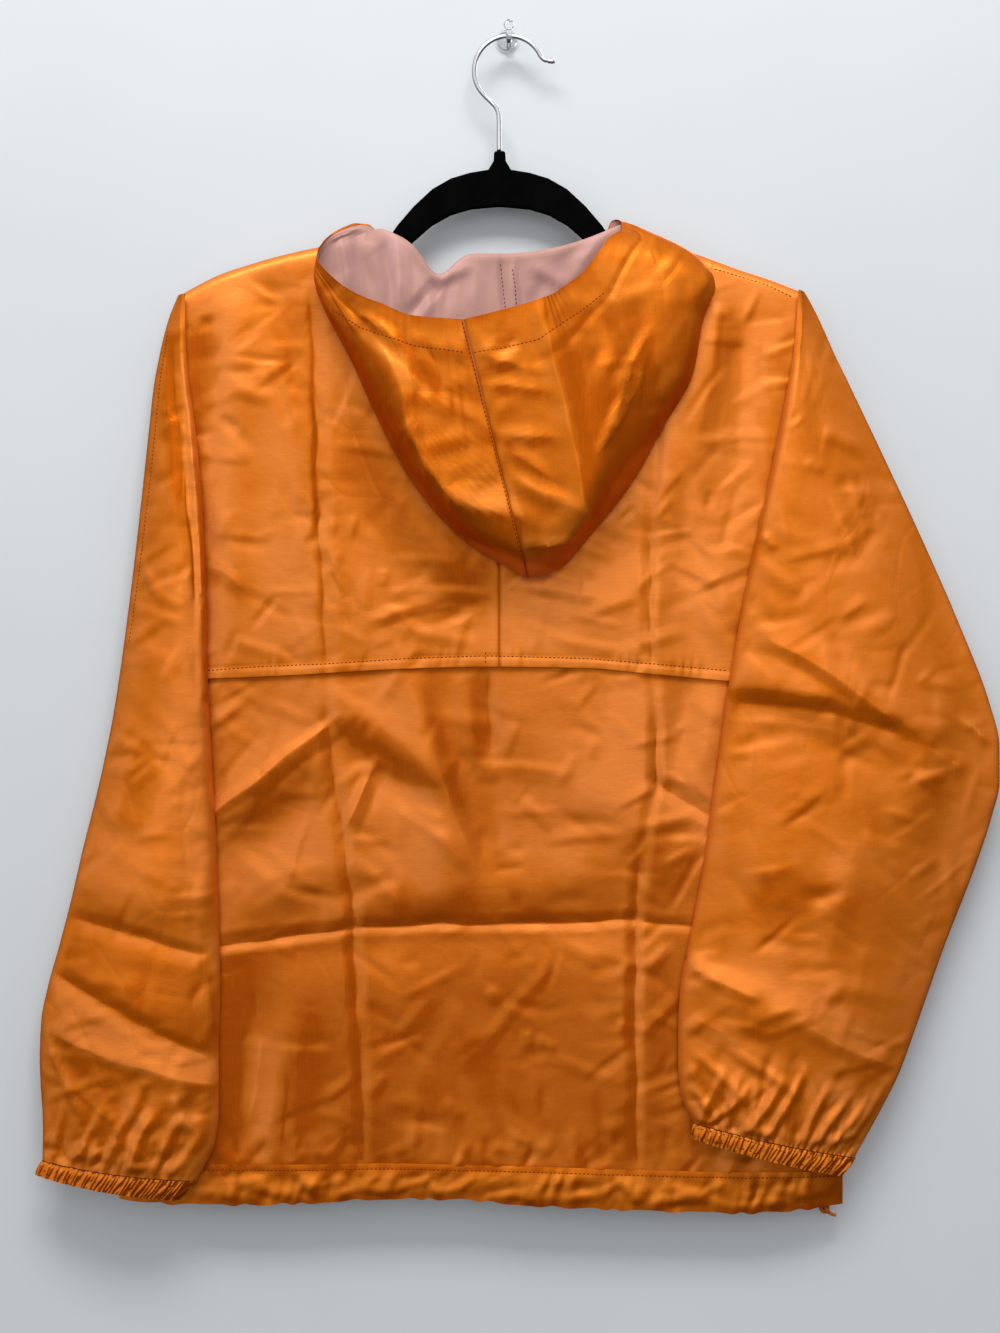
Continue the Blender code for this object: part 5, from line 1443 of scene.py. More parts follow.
def facets(tree, scale, low, high, bend):
    """Pressed crease lines in some places: the edges of bent cells, where a broad noise allows them."""
    where = place(tree, FACET_STRETCH)
    bender = noise(tree, where, scale * BENDS_PER_CELL, output="Color")
    bends = {0: bender, 1: (bend / scale,) * 3, 2: where}
    bent = new_node(tree, "VectorMath", bends, operation="MULTIPLY_ADD")
    cells = {"Vector": bent, "Scale": scale}
    edge = new_node(tree, "TexVoronoi", cells, "Distance", feature="DISTANCE_TO_EDGE")
    patch = ranged(tree, noise(tree, where, scale * PLACES_PER_CELL), low, high)
    return new_node(tree, "Math", {0: ranged(tree, edge, 0.0, FACET_LINE), 1: patch}, operation="MULTIPLY")


# Between the shaded and the lit colour the blue rises late, as in the photo.
MIDDLE_BLUE = 0.25

# The weave: how the streaks of each thread are drawn out, how far they change the colour, and their height.
WEFT_STRETCH = (70, 70, 1500)
WARP_STRETCH = (1500, 70, 50)
WEFT_STREAKS, WARP_STREAKS = 0.15, 0.10
WEFT_HEIGHT, WARP_HEIGHT = 0.00007, 0.00006

# Blotches: their scale, their share in the painted tone, and how far they change the roughness. The range of
# tones leads from the shaded to the lit colour.
BLOTCHES = 26.0
BLOTCH_SHARE = 0.65
UNEVEN_ROUGHNESS = 0.04
TONE_RANGE = (0.28, 1.15)

# Heights of the crinkles.
SOFT_CRINKLES = 0.0009
PRESSED_CRINKLES = 0.00024
FINE_CRINKLES = 0.0003

# Object coordinates as they are.
PLAIN = (1, 1, 1)

# The flock's two blacks.
FLOCK_DARK = (0.0006, 0.0006, 0.0007)
FLOCK_BRIGHT = (0.0018, 0.0018, 0.0020)


def cloth_material(name, lit_colour, shaded_colour, roughness=0.40, lustre=0.45, crinkle=1.0):
    """Plain-woven satin nylon: slub streaks of both threads, faint blotches, a tinted lustre, small crinkles.

    The painted light and shade that cloth() lays on the mesh, with the blotches, leads from the shaded to the
    lit colour, which are shaded and lit copies of the cloth's colour.
    """
    material, tree, shader = principled(name)
    weft = noise(tree, place(tree, WEFT_STRETCH), 1.0, 1.0)
    warp = noise(tree, place(tree, WARP_STRETCH), 1.0, 1.0)
    blotch = noise(tree, place(tree, (1.0, 1.0, 1.4)), BLOTCHES, 6.0, 0.65)
    painted_light_attribute = new_node(tree, "Attribute", {}, "Fac", attribute_name="painted_light_tone")
    both = new_node(tree, "Math", {0: blotch, 1: BLOTCH_SHARE, 2: painted_light_attribute}, operation="MULTIPLY_ADD")
    ramp = tree.nodes.new("ShaderNodeValToRGB")
    feed(tree, ramp, {"Fac": ranged(tree, both, *TONE_RANGE)})
    red, green = ((a + b) / 2 for a, b in zip(lit_colour[:2], shaded_colour[:2]))
    middle = (red, green, shaded_colour[2] + (lit_colour[2] - shaded_colour[2]) * MIDDLE_BLUE)
    stops = ramp.color_ramp.elements
    stops.new(0.5)
    for stop, colour in zip(stops, (shaded_colour, middle, lit_colour)):
        stop.color = (*colour, 1.0)
    painted_light_tone = ramp.outputs["Color"]
    streaky = mixed(tree, ranged(tree, weft, 0.25, 0.75, 0.0, WEFT_STREAKS), painted_light_tone, shaded_colour)
    streaky = mixed(tree, ranged(tree, warp, 0.25, 0.75, 0.0, WARP_STREAKS), streaky, lit_colour)
    soft = noise(tree, place(tree, (1.0, 1.0, 1.6)), 34.0, 4.0, 0.55)
    fine = noise(tree, place(tree, (1.0, 1.0, 1.3)), 150.0, 3.0, 0.6)
    pressed = facets(tree, 27.0, 0.46, 0.62, 0.22)
    normal = None
    for height, distance, strength in (
        (soft, SOFT_CRINKLES * crinkle, 0.5),
        (pressed, PRESSED_CRINKLES * crinkle, 1.0),
        (fine, FINE_CRINKLES * crinkle, 0.4),
        (weft, WEFT_HEIGHT, 0.5),
        (warp, WARP_HEIGHT, 0.4),
    ):
        normal = bumped(tree, height, distance, strength, normal)
    smoothest, roughest = roughness - UNEVEN_ROUGHNESS, roughness + UNEVEN_ROUGHNESS
    feed(tree, shader, {
        "Base Color": streaky,
        "Roughness": ranged(tree, blotch, 0.3, 0.7, roughest, smoothest),
        "Metallic": lustre,
        "Specular IOR Level": 0.05,
        "Specular Tint": (1.0, 0.50, 0.16, 1.0),
        "Normal": normal,
    })
    return material


def thread_material(name, colour):
    material, tree, shader = principled(name)
    twist = noise(tree, place(tree, PLAIN), 2500.0, 1.0)
    feed(tree, shader, {
        "Base Color": mixed(tree, twist, tuple(c * 0.7 for c in colour), colour),
        "Roughness": 0.6,
        "Specular IOR Level": 0.08,
        "Normal": bumped(tree, twist, 0.0002, 0.4),
    })
    return material


def flock_material():
    material, tree, shader = principled("black_flock")
    fibre = noise(tree, place(tree, PLAIN), 1800.0, 2.0)
    lie = noise(tree, place(tree, PLAIN), 60.0, 3.0)
    feed(tree, shader, {
        "Base Color": mixed(tree, ranged(tree, lie, 0.3, 0.7), FLOCK_DARK, FLOCK_BRIGHT),
        "Roughness": 1.0,
        "Specular IOR Level": 0.03,
        "Normal": bumped(tree, fibre, 0.0005, 0.8),
    })
    return material


def chrome_material():
    material, tree, shader = principled("chrome_wire")
    grain = noise(tree, place(tree, (300, 300, 2500)), 1.0, 1.0)
    feed(tree, shader, {
        "Base Color": (0.72, 0.72, 0.74, 1.0),
        "Roughness": ranged(tree, grain, 0.3, 0.7, 0.07, 0.13),
        "Metallic": 1.0,
        "Normal": bumped(tree, grain, 0.00005, 0.15),
    })
    return material


def clear_material():
    material, tree, shader = principled("clear_plastic")
    cloud = noise(tree, place(tree, PLAIN), 300.0, 2.0)
    feed(tree, shader, {
        "Base Color": (0.95, 0.97, 0.98, 1.0),
        "Roughness": ranged(tree, cloud, 0.3, 0.7, 0.04, 0.10),
        "Transmission Weight": 1.0,
        "IOR": 1.45,
    })
    return material


# ---------------------------------------------------------------- the neckline's dip

# Where it is deepest (x), the height from which it fades, its half width and the fade's length.
NECK_DIP = (-0.0515, -0.1640, 0.0150, 0.0484)
NECK_DIP_DEPTH = 0.0200


def dip_neckline(grid, weight=1.0):
    """Lets the back neckline sag left of the centre, in the yoke and in the hood's far part alike."""
    x0, z0, wide, reach = NECK_DIP
    above = 1 - ease(z0 - grid[..., 1], 0.0, reach)
    grid[..., 1] -= NECK_DIP_DEPTH * bell(grid[..., 0] - x0, wide) * above * weight


# ---------------------------------------------------------------- pieces

# Lit and shaded colour of each part's cloth, between which its painted light and shade runs.
OUTSIDE = {
    "yoke": cloth_material("nylon_yoke", (0.74, 0.215, 0.040), (0.375, 0.065, 0.001)),
    "back": cloth_material("nylon_body", (0.72, 0.205, 0.038), (0.365, 0.062, 0.001)),
    "sleeve": cloth_material("nylon_sleeve", (0.74, 0.205, 0.034), (0.425, 0.079, 0.001)),
    "hood": cloth_material("nylon_hood", (0.77, 0.220, 0.032), (0.400, 0.070, 0.001)),
    "casing": cloth_material("nylon_casing", (0.66, 0.180, 0.018), (0.300, 0.049, 0.001)),
}
# Lit and shaded colour of the pink inside, between which its painted light and shade runs.
INSIDE = cloth_material(
    "nylon_inside", (0.50, 0.285, 0.262), (0.36, 0.195, 0.175), roughness=0.55, lustre=0.05, crinkle=0.7
)
# The stitching's thread, darkened to paint the shade in the puckers round its needle holes.
SHADED_THREAD = thread_material("thread", (0.19, 0.038, 0.004))
PINK_SEAM = thread_material("thread_dark", (0.16, 0.06, 0.045))

# The pieces' surfaces, for the stitching: each piece's middle surface and how far the outside lies off it.
SURFACES = {}

# Edges sharper than this, in degrees, are shaded as edges. A turn to the light changes the painted light and
# shade by no more than the second value.
SHARP_FROM = 45
MOST_TURNED = 0.6

# The grid's points are held at hems and seams, and free from this far on.
EDGE_HOLDS = 0.006

# Half width of the painted shade line along stitching and edges, and how dark it is: the yoke's seam, its
# edge, its hem's row.
STITCH_LINE = 0.0012
SEAM_SHADE = 0.75
EDGE_SHADE = 0.35
ROW_SHADE = 0.3

# The yoke's hem: how far above its edge it is stitched, where the turned-up cloth ends, and its thickness.
YOKE_STITCHES = 0.0072
TURNED_UP_TO = (0.0062, 0.0080)
TURNED_UP = 0.0004

# How deep stitching draws the cloth in: along the yoke's hem, its seam, the hood's casing and its seam.
YOKE_ROW_DEPTH = 0.0003
YOKE_SEAM_DEPTH = 0.0006
HOOD_ROW_DEPTH = 0.0006
HOOD_SEAM_DEPTH = 0.0010

# Heights of the puckers along the yoke's hem, the hood's casing, its edge and its seam.
YOKE_PUCKERS = 0.00022
CASING_PUCKERS = 0.0003
RIM_PUCKERS = 0.0002
SEAM_PUCKERS = 0.0009

# The elastic's gathers above a cuff: the large and the fine ones.
LARGE_GATHERS = 0.0004
FINE_GATHERS = 0.0008

# How far the hem casing reaches up under the back.
HEM_UNDER_BACK = 0.0012

# Seeds of the small creases.
SEEDS = {
    "yoke_left": 11, "yoke_right": 12, "back": 21, "back_gathers": 22, "front": 31,
    "sleeve_left": 41, "sleeve_right": 42, "sleeve_wall_left": 51, "sleeve_wall_right": 52,
    "cuff_left": 45, "cuff_right": 46, "hood_left": 51, "hood_right": 52, "lining": 61,
    "hem_back": 71, "hem_front": 73, "hem_ticks_back": 72, "hem_ticks_front": 74,
}


def grid_faces(rows, columns, tube, kept):
    """The grid's squares, as the numbers of their points. kept(row, column) says which squares are used."""
    across = columns if tube else columns - 1
    r, c = np.meshgrid(np.arange(rows - 1), np.arange(across), indexing="ij")
    use = kept(r, c) if kept else np.ones(r.shape, bool)
    r, c = r[use], c[use]
    right = (c + 1) % columns
    return np.stack(
        [r * columns + c, r * columns + right, (r + 1) * columns + right, (r + 1) * columns + c], axis=1
    )


def cloth(name, node, grid, outside, tube=False, kept=None, flip=False, shell=SHELL, painted_patches=(), base=0.5,
          painted_light_gain=2.6, form=None, casing=None, shade=0.0):
    """A thin shell over the grid, in place of a CAD node. Its inside is the pink back of the cloth.

    Its tone is painted light and shade: the sum of a base, the painted patches, painted shading by how far
    the cloth turns to the light (if a form is given, only how far it turns from that) and a painted shade. In
    a casing both sides of the shell have the outside's cloth.
    """
    rows, columns = grid.shape[:2]
    # Painted shading: the cloth's colour is lighter where it turns to the light's side and darker where it
    # turns away.
    turned = facing(grid) - (0 if form is None else facing(form))
    light_and_shade_patches = painted_light_of(grid[..., 0], grid[..., 1], painted_patches)
    painted_light_tone = base + light_and_shade_patches + np.clip(turned * painted_light_gain, -MOST_TURNED, MOST_TURNED) + shade
    faces = grid_faces(rows, columns, tube, kept)
    if flip:
        faces = faces[:, ::-1]
    used = np.unique(faces)
    index = np.full(rows * columns, -1)
    index[used] = np.arange(len(used))
    points = grid.reshape(-1, 3)[used]
    points = np.stack([points[:, 0], -points[:, 2], points[:, 1]], axis=1)
    mesh = bpy.data.meshes.new(name)
    mesh.from_pydata(points.tolist(), [], index[faces].tolist())
    for material in (outside, INSIDE) if casing is None else (outside, INSIDE, outside, outside):
        mesh.materials.append(material)
    if casing is not None:
        slots = (2 * casing.reshape(-1)[faces[:, 0]]).astype(np.int32)
        mesh.polygons.foreach_set("material_index", slots)
    mesh.shade_smooth()
    values = mesh.attributes.new("painted_light_tone", "FLOAT", "POINT")
    values.data.foreach_set("value", painted_light_tone.reshape(-1)[used].astype(np.float32))
    obj = new_object(name, mesh)
    solid = obj.modifiers.new("shell", "SOLIDIFY")
    solid.thickness = shell
    solid.offset = 0.0
    solid.material_offset = 1
    made = obj.evaluated_get(bpy.context.evaluated_depsgraph_get())
    obj.data = bpy.data.meshes.new_from_object(made)
    obj.modifiers.clear()
    obj.data.set_sharp_from_angle(angle=math.radians(SHARP_FROM))
    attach(obj, "root")
    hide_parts(node)
    tree = BVHTree.FromPolygons([tuple(p) for p in points], index[faces].tolist())
    SURFACES[name] = (tree, shell / 2)
    return obj


def window(marks, count, start, end, fade):
    """1 between two marked columns, with soft ends of `fade` columns."""
    k = np.arange(count)
    return ease(k, marks[start], marks[start] + fade) * (1 - ease(k, marks[end] - fade, marks[end]))


def back_relief(x, z):
    return crease_relief(x, z, BACK_CREASES) + roll_relief(x, z, BACK_ROLLS)


def make_yoke(side):
    grid = refined(yoke_grid(side), CELLS["yoke"])[0]
    dip_neckline(grid)
    x, z = grid[..., 0], grid[..., 1]
    free = ease(z - yoke_hem_z(x), 0.0, EDGE_HOLDS) * ease(np.abs(x - CENTRE_X), 0.0, EDGE_HOLDS)
    draw_to_creases(grid, BACK_CREASES, free)
    off_seam = x - CENTRE_X
    edge = z - yoke_hem_z(x)
    off_row = edge - YOKE_STITCHES
    turned_up = TURNED_UP * (1 - ease(edge, *TURNED_UP_TO))
    groove = -YOKE_ROW_DEPTH * bell(off_row, STITCH_LINE)
    overlap = 0.0004 if side == "left" else 0.0
    seam = -YOKE_SEAM_DEPTH * bell(off_seam, 0.0016) + overlap * bell(off_seam, 0.004)
    calm = ease(shoulder_z(x) - z, 0.004, 0.030)
    small = crumple(x, z, SEEDS["yoke_" + side], 170, 0.55, 0.45)
    here = 0.5 + 0.5 * np.sin(x * 71 + 2 * np.sin(x * 33))
    puckers = YOKE_PUCKERS * here * np.sin(x * 520 + 4 * np.sin(x * 140)) * bell(edge - 0.007, 0.006)
    grid[..., 2] += calm * (back_relief(x, z) + small) + turned_up + groove + seam + puckers
    # Painted light and shade along the main creases; painted shade along the seam, the hem's edge and its
    # stitching.
    shade = painted_crease_lines(x, z, BACK_CREASES) - SEAM_SHADE * bell(off_seam, STITCH_LINE)
    shade -= EDGE_SHADE * bell(edge, STITCH_LINE) + ROW_SHADE * bell(off_row, STITCH_LINE)
    return cloth(
        "cloth_yoke_" + side, "back_yoke_" + side, grid, OUTSIDE["yoke"],
        flip=side == "left", painted_patches=BACK_PAINTED_LIGHT, shade=shade,
    )


def make_lower_back():
    grid = refined(lower_back_grid(), CELLS["back"])[0]
    x, z = grid[..., 0], grid[..., 1]
    low = ease(z - hem_z(x, "top"), 0.0, EDGE_HOLDS)
    draw_to_creases(grid, BACK_CREASES, low * (1 - edge_share(x, z)))
    inside = 1 - edge_share(x, z)
    above_hem = z - hem_z(x, "top")
    band = (x.min(), x.max(), z.min(), z.min() + 0.035)
    gathers = crumple(
        x, z, SEEDS["back_gathers"], 110, 0.9, 0.8, box=band, lean=1.6, spread=0.5, longest=0.024
    )
    gathers *= bell(above_hem, 0.026)
    small = crumple(x, z, SEEDS["back"], 330, 0.6, 0.3)
    calm = ease(above_hem, 0.0, 0.012)
    grid[..., 2] += inside * (calm * (back_relief(x, z) + small) + gathers)
    # Painted shadow under the yoke's hem, painted shade above the casing, painted light and shade along
    # creases.
    under_yoke = yoke_hem_z(x) - z
    shade = -0.55 * bell(under_yoke, 0.0035) - 0.4 * bell(above_hem, 0.0015)
    shade += painted_crease_lines(x, z, BACK_CREASES)
    return cloth(
        "cloth_back_lower", "back_lower", grid, OUTSIDE["back"],
        flip=True, painted_patches=BACK_PAINTED_LIGHT, shade=shade,
    )


# The front's pressed folds, which mirror the back's: ends (x, z), rise towards the wall and flanks' widths
# in mm.
FRONT_CREASES = (
    (-0.140, -0.230, -0.132, -0.520, 1.2, 8, 6),
    (-0.132, -0.500, -0.118, -0.840, 1.3, 7, 9),
    (0.112, -0.250, 0.104, -0.540, 1.1, 8, 8),
    (0.104, -0.520, 0.098, -0.840, 1.3, 9, 7),
    (-0.270, -0.664, -0.020, -0.672, 1.4, 8, 8),
    (-0.040, -0.671, 0.235, -0.660, 1.2, 7, 9),
    (-0.200, -0.560, -0.140, -0.500, 0.9, 9, 8),
    (0.060, -0.590, 0.150, -0.530, 0.8, 9, 9),
    (-0.060, -0.770, 0.010, -0.720, 0.8, 9, 8),
)
FRONT_SOFTNESS = 0.003


def make_front():
    grid = refined(front_grid(), CELLS["front"])[0]
    x, z = grid[..., 0], grid[..., 1]
    inside = (1 - edge_share(x, z)) * ease(shoulder_z(x) - z, 0.010, 0.040)
    small = crumple(x, z, SEEDS["front"], 160, 0.6, 0.3)
    pressed = crease_relief(x, z, FRONT_CREASES, softness=FRONT_SOFTNESS)
    grid[..., 2] -= inside * (small + pressed)
    return cloth("cloth_front", "front_body", grid, OUTSIDE["back"])


def make_sleeve(side):
    grid, rows, columns, down, along = refined(sleeve_grid(side), CELLS["sleeve"], tube=True)
    count = grid.shape[1]
    fold = 2 + SLEEVE_ACROSS + 1
    grid[..., 1] += SLEEVE_TOP_RISE[side] * (1 - ease(down, 0.0, 0.045))[:, None]
    room = window(columns, count, 1, fold, 5)[None, :]
    wall = window(columns, count, fold + 1, fold + SLEEVE_OUTER_WALL, 6)[None, :]
    form = grid.copy()
    calm_ends = ease(down, 0.01, 0.03) * (1 - ease(down, down[-1] - 0.012, down[-1] - 0.004))
    draw_to_creases(grid, SLEEVE_CREASES[side], room * calm_ends[:, None])
    x, z = grid[..., 0], grid[..., 1]
    above_cuff = (down[-1] - down)[:, None]
    relief = crease_relief(x, z, SLEEVE_CREASES[side]) + roll_relief(x, z, SLEEVE_ROLLS[side])
    drawn_in = [(*row[:4], row[4] * 1.15, row[5] * 0.85, row[6] * 0.85) for row in SLEEVE_GATHERS[side]]
    relief += crease_relief(x, z, drawn_in)
    band = (x.min(), x.max(), z.min(), z.min() + 0.085)
    bunched = crumple(x, z, SEEDS["cuff_" + side], 90, 1.5, 0.75, box=band, lean=1.2, longest=0.032)
    relief += bunched * bell(above_cuff, 0.055)
    relief += crumple(x, z, SEEDS["sleeve_" + side], 280, 0.65, 0.3)
    hidden = crumple(x, z, SEEDS["sleeve_wall_" + side], 120, 0.5, 0.3)
    top = ease(down, 0.01, 0.04)[:, None]
    turn = (along / along[-1] * 2 * math.pi)[None, :]
    uneven = 1.3 * np.sin(turn + 0.5) + 0.9 * np.sin(2 * turn + 1.0)
    uneven = uneven + 1.5 * np.sin(7 * turn + above_cuff * 45)
    large = LARGE_GATHERS * bell(above_cuff - 0.010, 0.016) * np.sin(24 * turn + 2.6 * uneven)
    fine = FINE_GATHERS * np.exp(-above_cuff / 0.006) * np.sin(CUFF_GATHERS * turn + 1.5 * uneven)
    near_cuff = ease(above_cuff, 0.0, 0.008)
    gathers = large * near_cuff + fine
    grid[..., 2] += top * near_cuff * room * relief + room * gathers
    grid[..., 2] += wall * (top * hidden - gathers) * 0.6
    open_from = columns[OPEN_COLUMNS - 1]
    underarm = rows[ROWS_ABOVE]

    def kept(r, c):
        """Above the underarm the ring is open where the front's armhole seam lies."""
        return (r >= underarm) | (c < open_from)

    # Painted light and shade along the main creases of the room-side layer.
    return cloth(
        "cloth_sleeve_" + side, "sleeve_" + side, grid, OUTSIDE["sleeve"],
        tube=True, kept=kept, flip=side == "right", painted_patches=SLEEVE_PAINTED_LIGHT[side], painted_light_gain=2.2, form=form,
        shade=room * painted_crease_lines(x, z, SLEEVE_CREASES[side]),
    )


CUFF_POINTS_PER_GATHER = 8
CUFF_ROWS = 12
# The two rows of stitching: their place down the casing, and how far they draw the gathers in.
CUFF_STITCHES = ((0.12, 0.75), (0.86, 0.6))
CUFF_STITCH_WIDTH = 0.09
CUFF_PUFF = 0.0007
CUFF_GATHER = 0.0011
CUFF_SHELL = 0.0008


def make_cuff(side):
    """The elastic casing: gathers all round, drawn in along two rows of stitching."""
    top, low = cuff_rings(side)
    count = CUFF_GATHERS * CUFF_POINTS_PER_GATHER
    top, low = evenly(top, count), evenly(low, count)
    middle = top.mean(axis=0)
    gap = np.array([0.0, -(SEAM_GAP + SHELL), 0.0])
    turn = np.arange(count) / count * 2 * math.pi
    uneven = 0.9 * np.sin(3 * turn) + 0.6 * np.sin(7 * turn + 1) + 0.5 * np.sin(13 * turn)
    grid = []
    for v in np.linspace(0, 1, CUFF_ROWS):
        line = (top + gap) * (1 - v) + low * v
        ahead = np.roll(line, -1, axis=0) - np.roll(line, 1, axis=0)
        out = np.stack([-ahead[:, 2], np.zeros(count), ahead[:, 0]], axis=1)
        out /= np.linalg.norm(out, axis=1, keepdims=True)
        toward = np.sign(np.sum(out * (line - middle), axis=1, keepdims=True))
        drawn = 1 - sum(amount * bell(v - at, CUFF_STITCH_WIDTH) for at, amount in CUFF_STITCHES)
        slant = 0.6 * v + 1.2 * v * np.sin(23 * turn + 1)
        slant += 1.3 * np.sin(31 * turn + 3 * v) + 0.8 * np.sin(47 * turn)
        wave = np.sin(CUFF_GATHERS * turn + uneven + slant) * (0.72 + 0.28 * np.sin(29 * turn + 2 + 3 * v))
        puff = CUFF_PUFF * math.sin(math.pi * v) + CUFF_GATHER * drawn * wave[:, None]
        grid.append(line + out * toward * puff)
    return cloth(
        "cloth_cuff_" + side, "cuff_" + side, np.array(grid), OUTSIDE["casing"],
        tube=True, flip=side == "right", shell=CUFF_SHELL,
    )


# The hem casing's larger crescents, as the photo shows them.
HEM_CREASES = lines_seen(BACK_MM, (
    (292, 1171, 319, 1197, 2.0, 3, 5),
    (319, 1198, 361, 1191, 1.8, 4, 4),
    (367, 1192, 409, 1188, 1.8, 4, 3),
    (409, 1188, 428, 1181, 1.6, 4, 3),
    (427, 1181, 440, 1198, 1.8, 3, 4),
    (433, 1191, 461, 1190, 1.5, 4, 3),
    (461, 1189, 474, 1177, 1.6, 3, 4),
    (485, 1202, 512, 1194, 1.8, 4, 3),
    (512, 1194, 543, 1203, 1.6, 3, 4),
    (237, 1166, 250, 1199, 1.6, 4, 4),
    (250, 1184, 296, 1202, 1.8, 4, 4),
    (201, 1191, 276, 1206, 1.5, 4, 4),
    (560, 1200, 604, 1193, 1.7, 4, 4),
    (604, 1192, 622, 1182, 1.5, 4, 3),
    (620, 1180, 640, 1205, 1.6, 3, 4),
    (650, 1204, 700, 1196, 1.8, 4, 4),
    (700, 1196, 722, 1186, 1.5, 3, 4),
    (730, 1208, 790, 1202, 1.8, 4, 4),
    (770, 1190, 812, 1196, 1.5, 4, 4),
    (800, 1212, 832, 1206, 1.6, 3, 4),
))

HEM_COLUMNS = 420
HEM_ROWS = 14
HEM_SHELL = 0.0016


def make_hem(face):
    way = 1 if face == "back" else -1
    grid = hem_grid(face, HEM_COLUMNS, HEM_ROWS)
    x, z = grid[..., 0], grid[..., 1]
    v = np.linspace(0, 1, HEM_ROWS)[:, None]
    u = np.linspace(0, 1, HEM_COLUMNS)[None, :]
    ends = np.minimum(1.0, np.minimum(u * 20, (1 - u) * 20))
    uneven = 2.2 * np.sin(9 * u * math.pi) + 1.4 * np.sin(23 * u * math.pi + 1)
    gathers = 2 * math.pi * HEM_GATHERS * u
    wave = np.sin(1.6 * gathers + uneven + 2.4 * v + 1.5 * np.sin(40 * u + 4 * v))
    round_band = np.sin(math.pi * np.clip(v * 1.02, 0, 1)) ** 0.7
    strength = 0.16 + 0.22 * np.sin(31 * u + 1.7) * np.sin(13 * u)
    sunk = -0.0007 * bell(v, 0.09)
    lift = 0.6 * HEM_PUFF * round_band + sunk
    lift = lift + HEM_GATHER_DEPTH * strength * wave * (0.25 + 0.75 * round_band)
    small = crumple(x, z, SEEDS["hem_" + face], 100, 1.0, 0.9, spread=0.35, longest=0.050)
    small += crumple(
        x, z, SEEDS["hem_ticks_" + face], 130, 1.0, 0.85, lean=1.45, spread=0.5, longest=0.016
    )
    if face == "back":
        small += 0.8 * crease_relief(x, z, HEM_CREASES)
    lift = lift + 0.72 * small * (0.35 + 0.65 * round_band)
    inward = (CASING_WALL - CLOTH_WALL) / 2
    grid[..., 2] += way * (ends * lift + inward)
    grid[..., 1] += 0.0008 * np.sin(0.8 * gathers + uneven) * v * ends
    grid[0, :, 1] += HEM_UNDER_BACK
    # Painted shade in a band below the casing's top edge.
    return cloth(
        "cloth_hem_" + face, "hem_" + face, grid, OUTSIDE["casing"],
        flip=face == "back", shell=HEM_SHELL, painted_patches=BACK_PAINTED_LIGHT, base=0.42, painted_light_gain=2.0,
        shade=-0.5 * bell(v - 0.10, 0.05) * np.ones(x.shape),
    )


# The hood's face casing: how far its stitching lies from the face edge.
RIM_STITCHES = 0.0185


def make_hood(side):
    grid, _, columns, down, along = refined(hood_grid(side), CELLS["hood"])
    form = grid.copy()
    to_rim = (along[-1] - along)[None, :]
    from_seam = (down[-1] - down)[:, None]
    round_neck = (down / down[-1])[:, None]
    rim_run, seam_run = down[:, None], along[None, :]
    in_casing = np.broadcast_to(to_rim < RIM_STITCHES, grid.shape[:2])
    fold = columns[len(HOOD_ROLL) + HOOD_FAR]
    k = np.arange(grid.shape[1])
    near = ease(k, fold + 2, fold + 9)[None, :]
    dip_neckline(grid, (1 - near) * ease(round_neck, 0.42, 0.60))
    behind = ease(round_neck, 0.34, 0.46)
    loose = ease(from_seam, 0.0, EDGE_HOLDS) * ease(to_rim, 0.0, 0.008)
    draw_to_creases(grid, HOOD_CREASES, near * behind * loose)
    x, z = grid[..., 0], grid[..., 1]
    relief = 1.05 * crease_relief(x, z, HOOD_CREASES)
    relief += crumple(x, z, SEEDS["hood_" + side], 130, 0.5, 0.5)
    casing = -HOOD_ROW_DEPTH * bell(to_rim - RIM_STITCHES, 0.0016)
    uneven = 0.55 + 0.45 * np.sin(rim_run * 47 + 2 * np.sin(rim_run * 19)) * np.sin(rim_run * 83 + 1)
    at_casing = np.sin(rim_run * 330 + 5 * np.sin(rim_run * 60) + to_rim * 160)
    at_edge = np.sin(rim_run * 560 + 4 * np.sin(rim_run * 45))
    puckers = CASING_PUCKERS * bell(to_rim - 0.020, 0.0075) * uneven * at_casing
    puckers += RIM_PUCKERS * bell(to_rim, 0.012) * uneven * at_edge
    overlap = 0.0005 if side == "left" else 0.0
    seam = -HOOD_SEAM_DEPTH * bell(from_seam, 0.0018) + overlap * bell(from_seam, 0.003)
    here = 0.45 + 0.7 * np.sin(seam_run * 53 + 1.2 * rim_run.max()) * np.sin(seam_run * 31 + 2)
    slant = from_seam * (260 if side == "left" else -200)
    wave = np.sin(seam_run * 480 + 6 * np.sin(seam_run * 75) + slant)
    beside_it = bell(from_seam, 0.0075) * (1 - bell(from_seam, 0.002))
    seam_puckers = SEAM_PUCKERS * np.clip(here, 0, 1) * wave * beside_it
    grid[..., 2] += near * (behind * relief + seam + seam_puckers)
    grid[..., 2] += casing + puckers
    inner = 1.2 * crease_relief(x, z, LINING_CREASES)
    inner += 0.5 * crumple(x, z, SEEDS["lining"], 70, 0.6, 0.5)
    grid[..., 2] += ease(k, columns[2], columns[2] + 6)[None, :] * (1 - near) * inner
    # Painted shade along the face edge, the casing's stitching and the middle seam; painted light and shade
    # along creases.
    painted_rim_shade = bell(to_rim, 0.0018) + 0.8 * bell(to_rim - RIM_STITCHES, STITCH_LINE)
    painted_seam_shade = bell(from_seam, STITCH_LINE) * np.ones(seam_run.shape)
    return cloth(
        "cloth_hood_" + side, "hood_" + side, grid, OUTSIDE["hood"],
        flip=side == "left", painted_patches=HOOD_PAINTED_LIGHT, base=0.26, painted_light_gain=1.7, form=form, casing=in_casing,
        shade=near * painted_crease_lines(x, z, HOOD_CREASES) - 0.5 * painted_seam_shade - 0.25 * painted_rim_shade,
    )


# ---------------------------------------------------------------- hanger, wire and wall hook


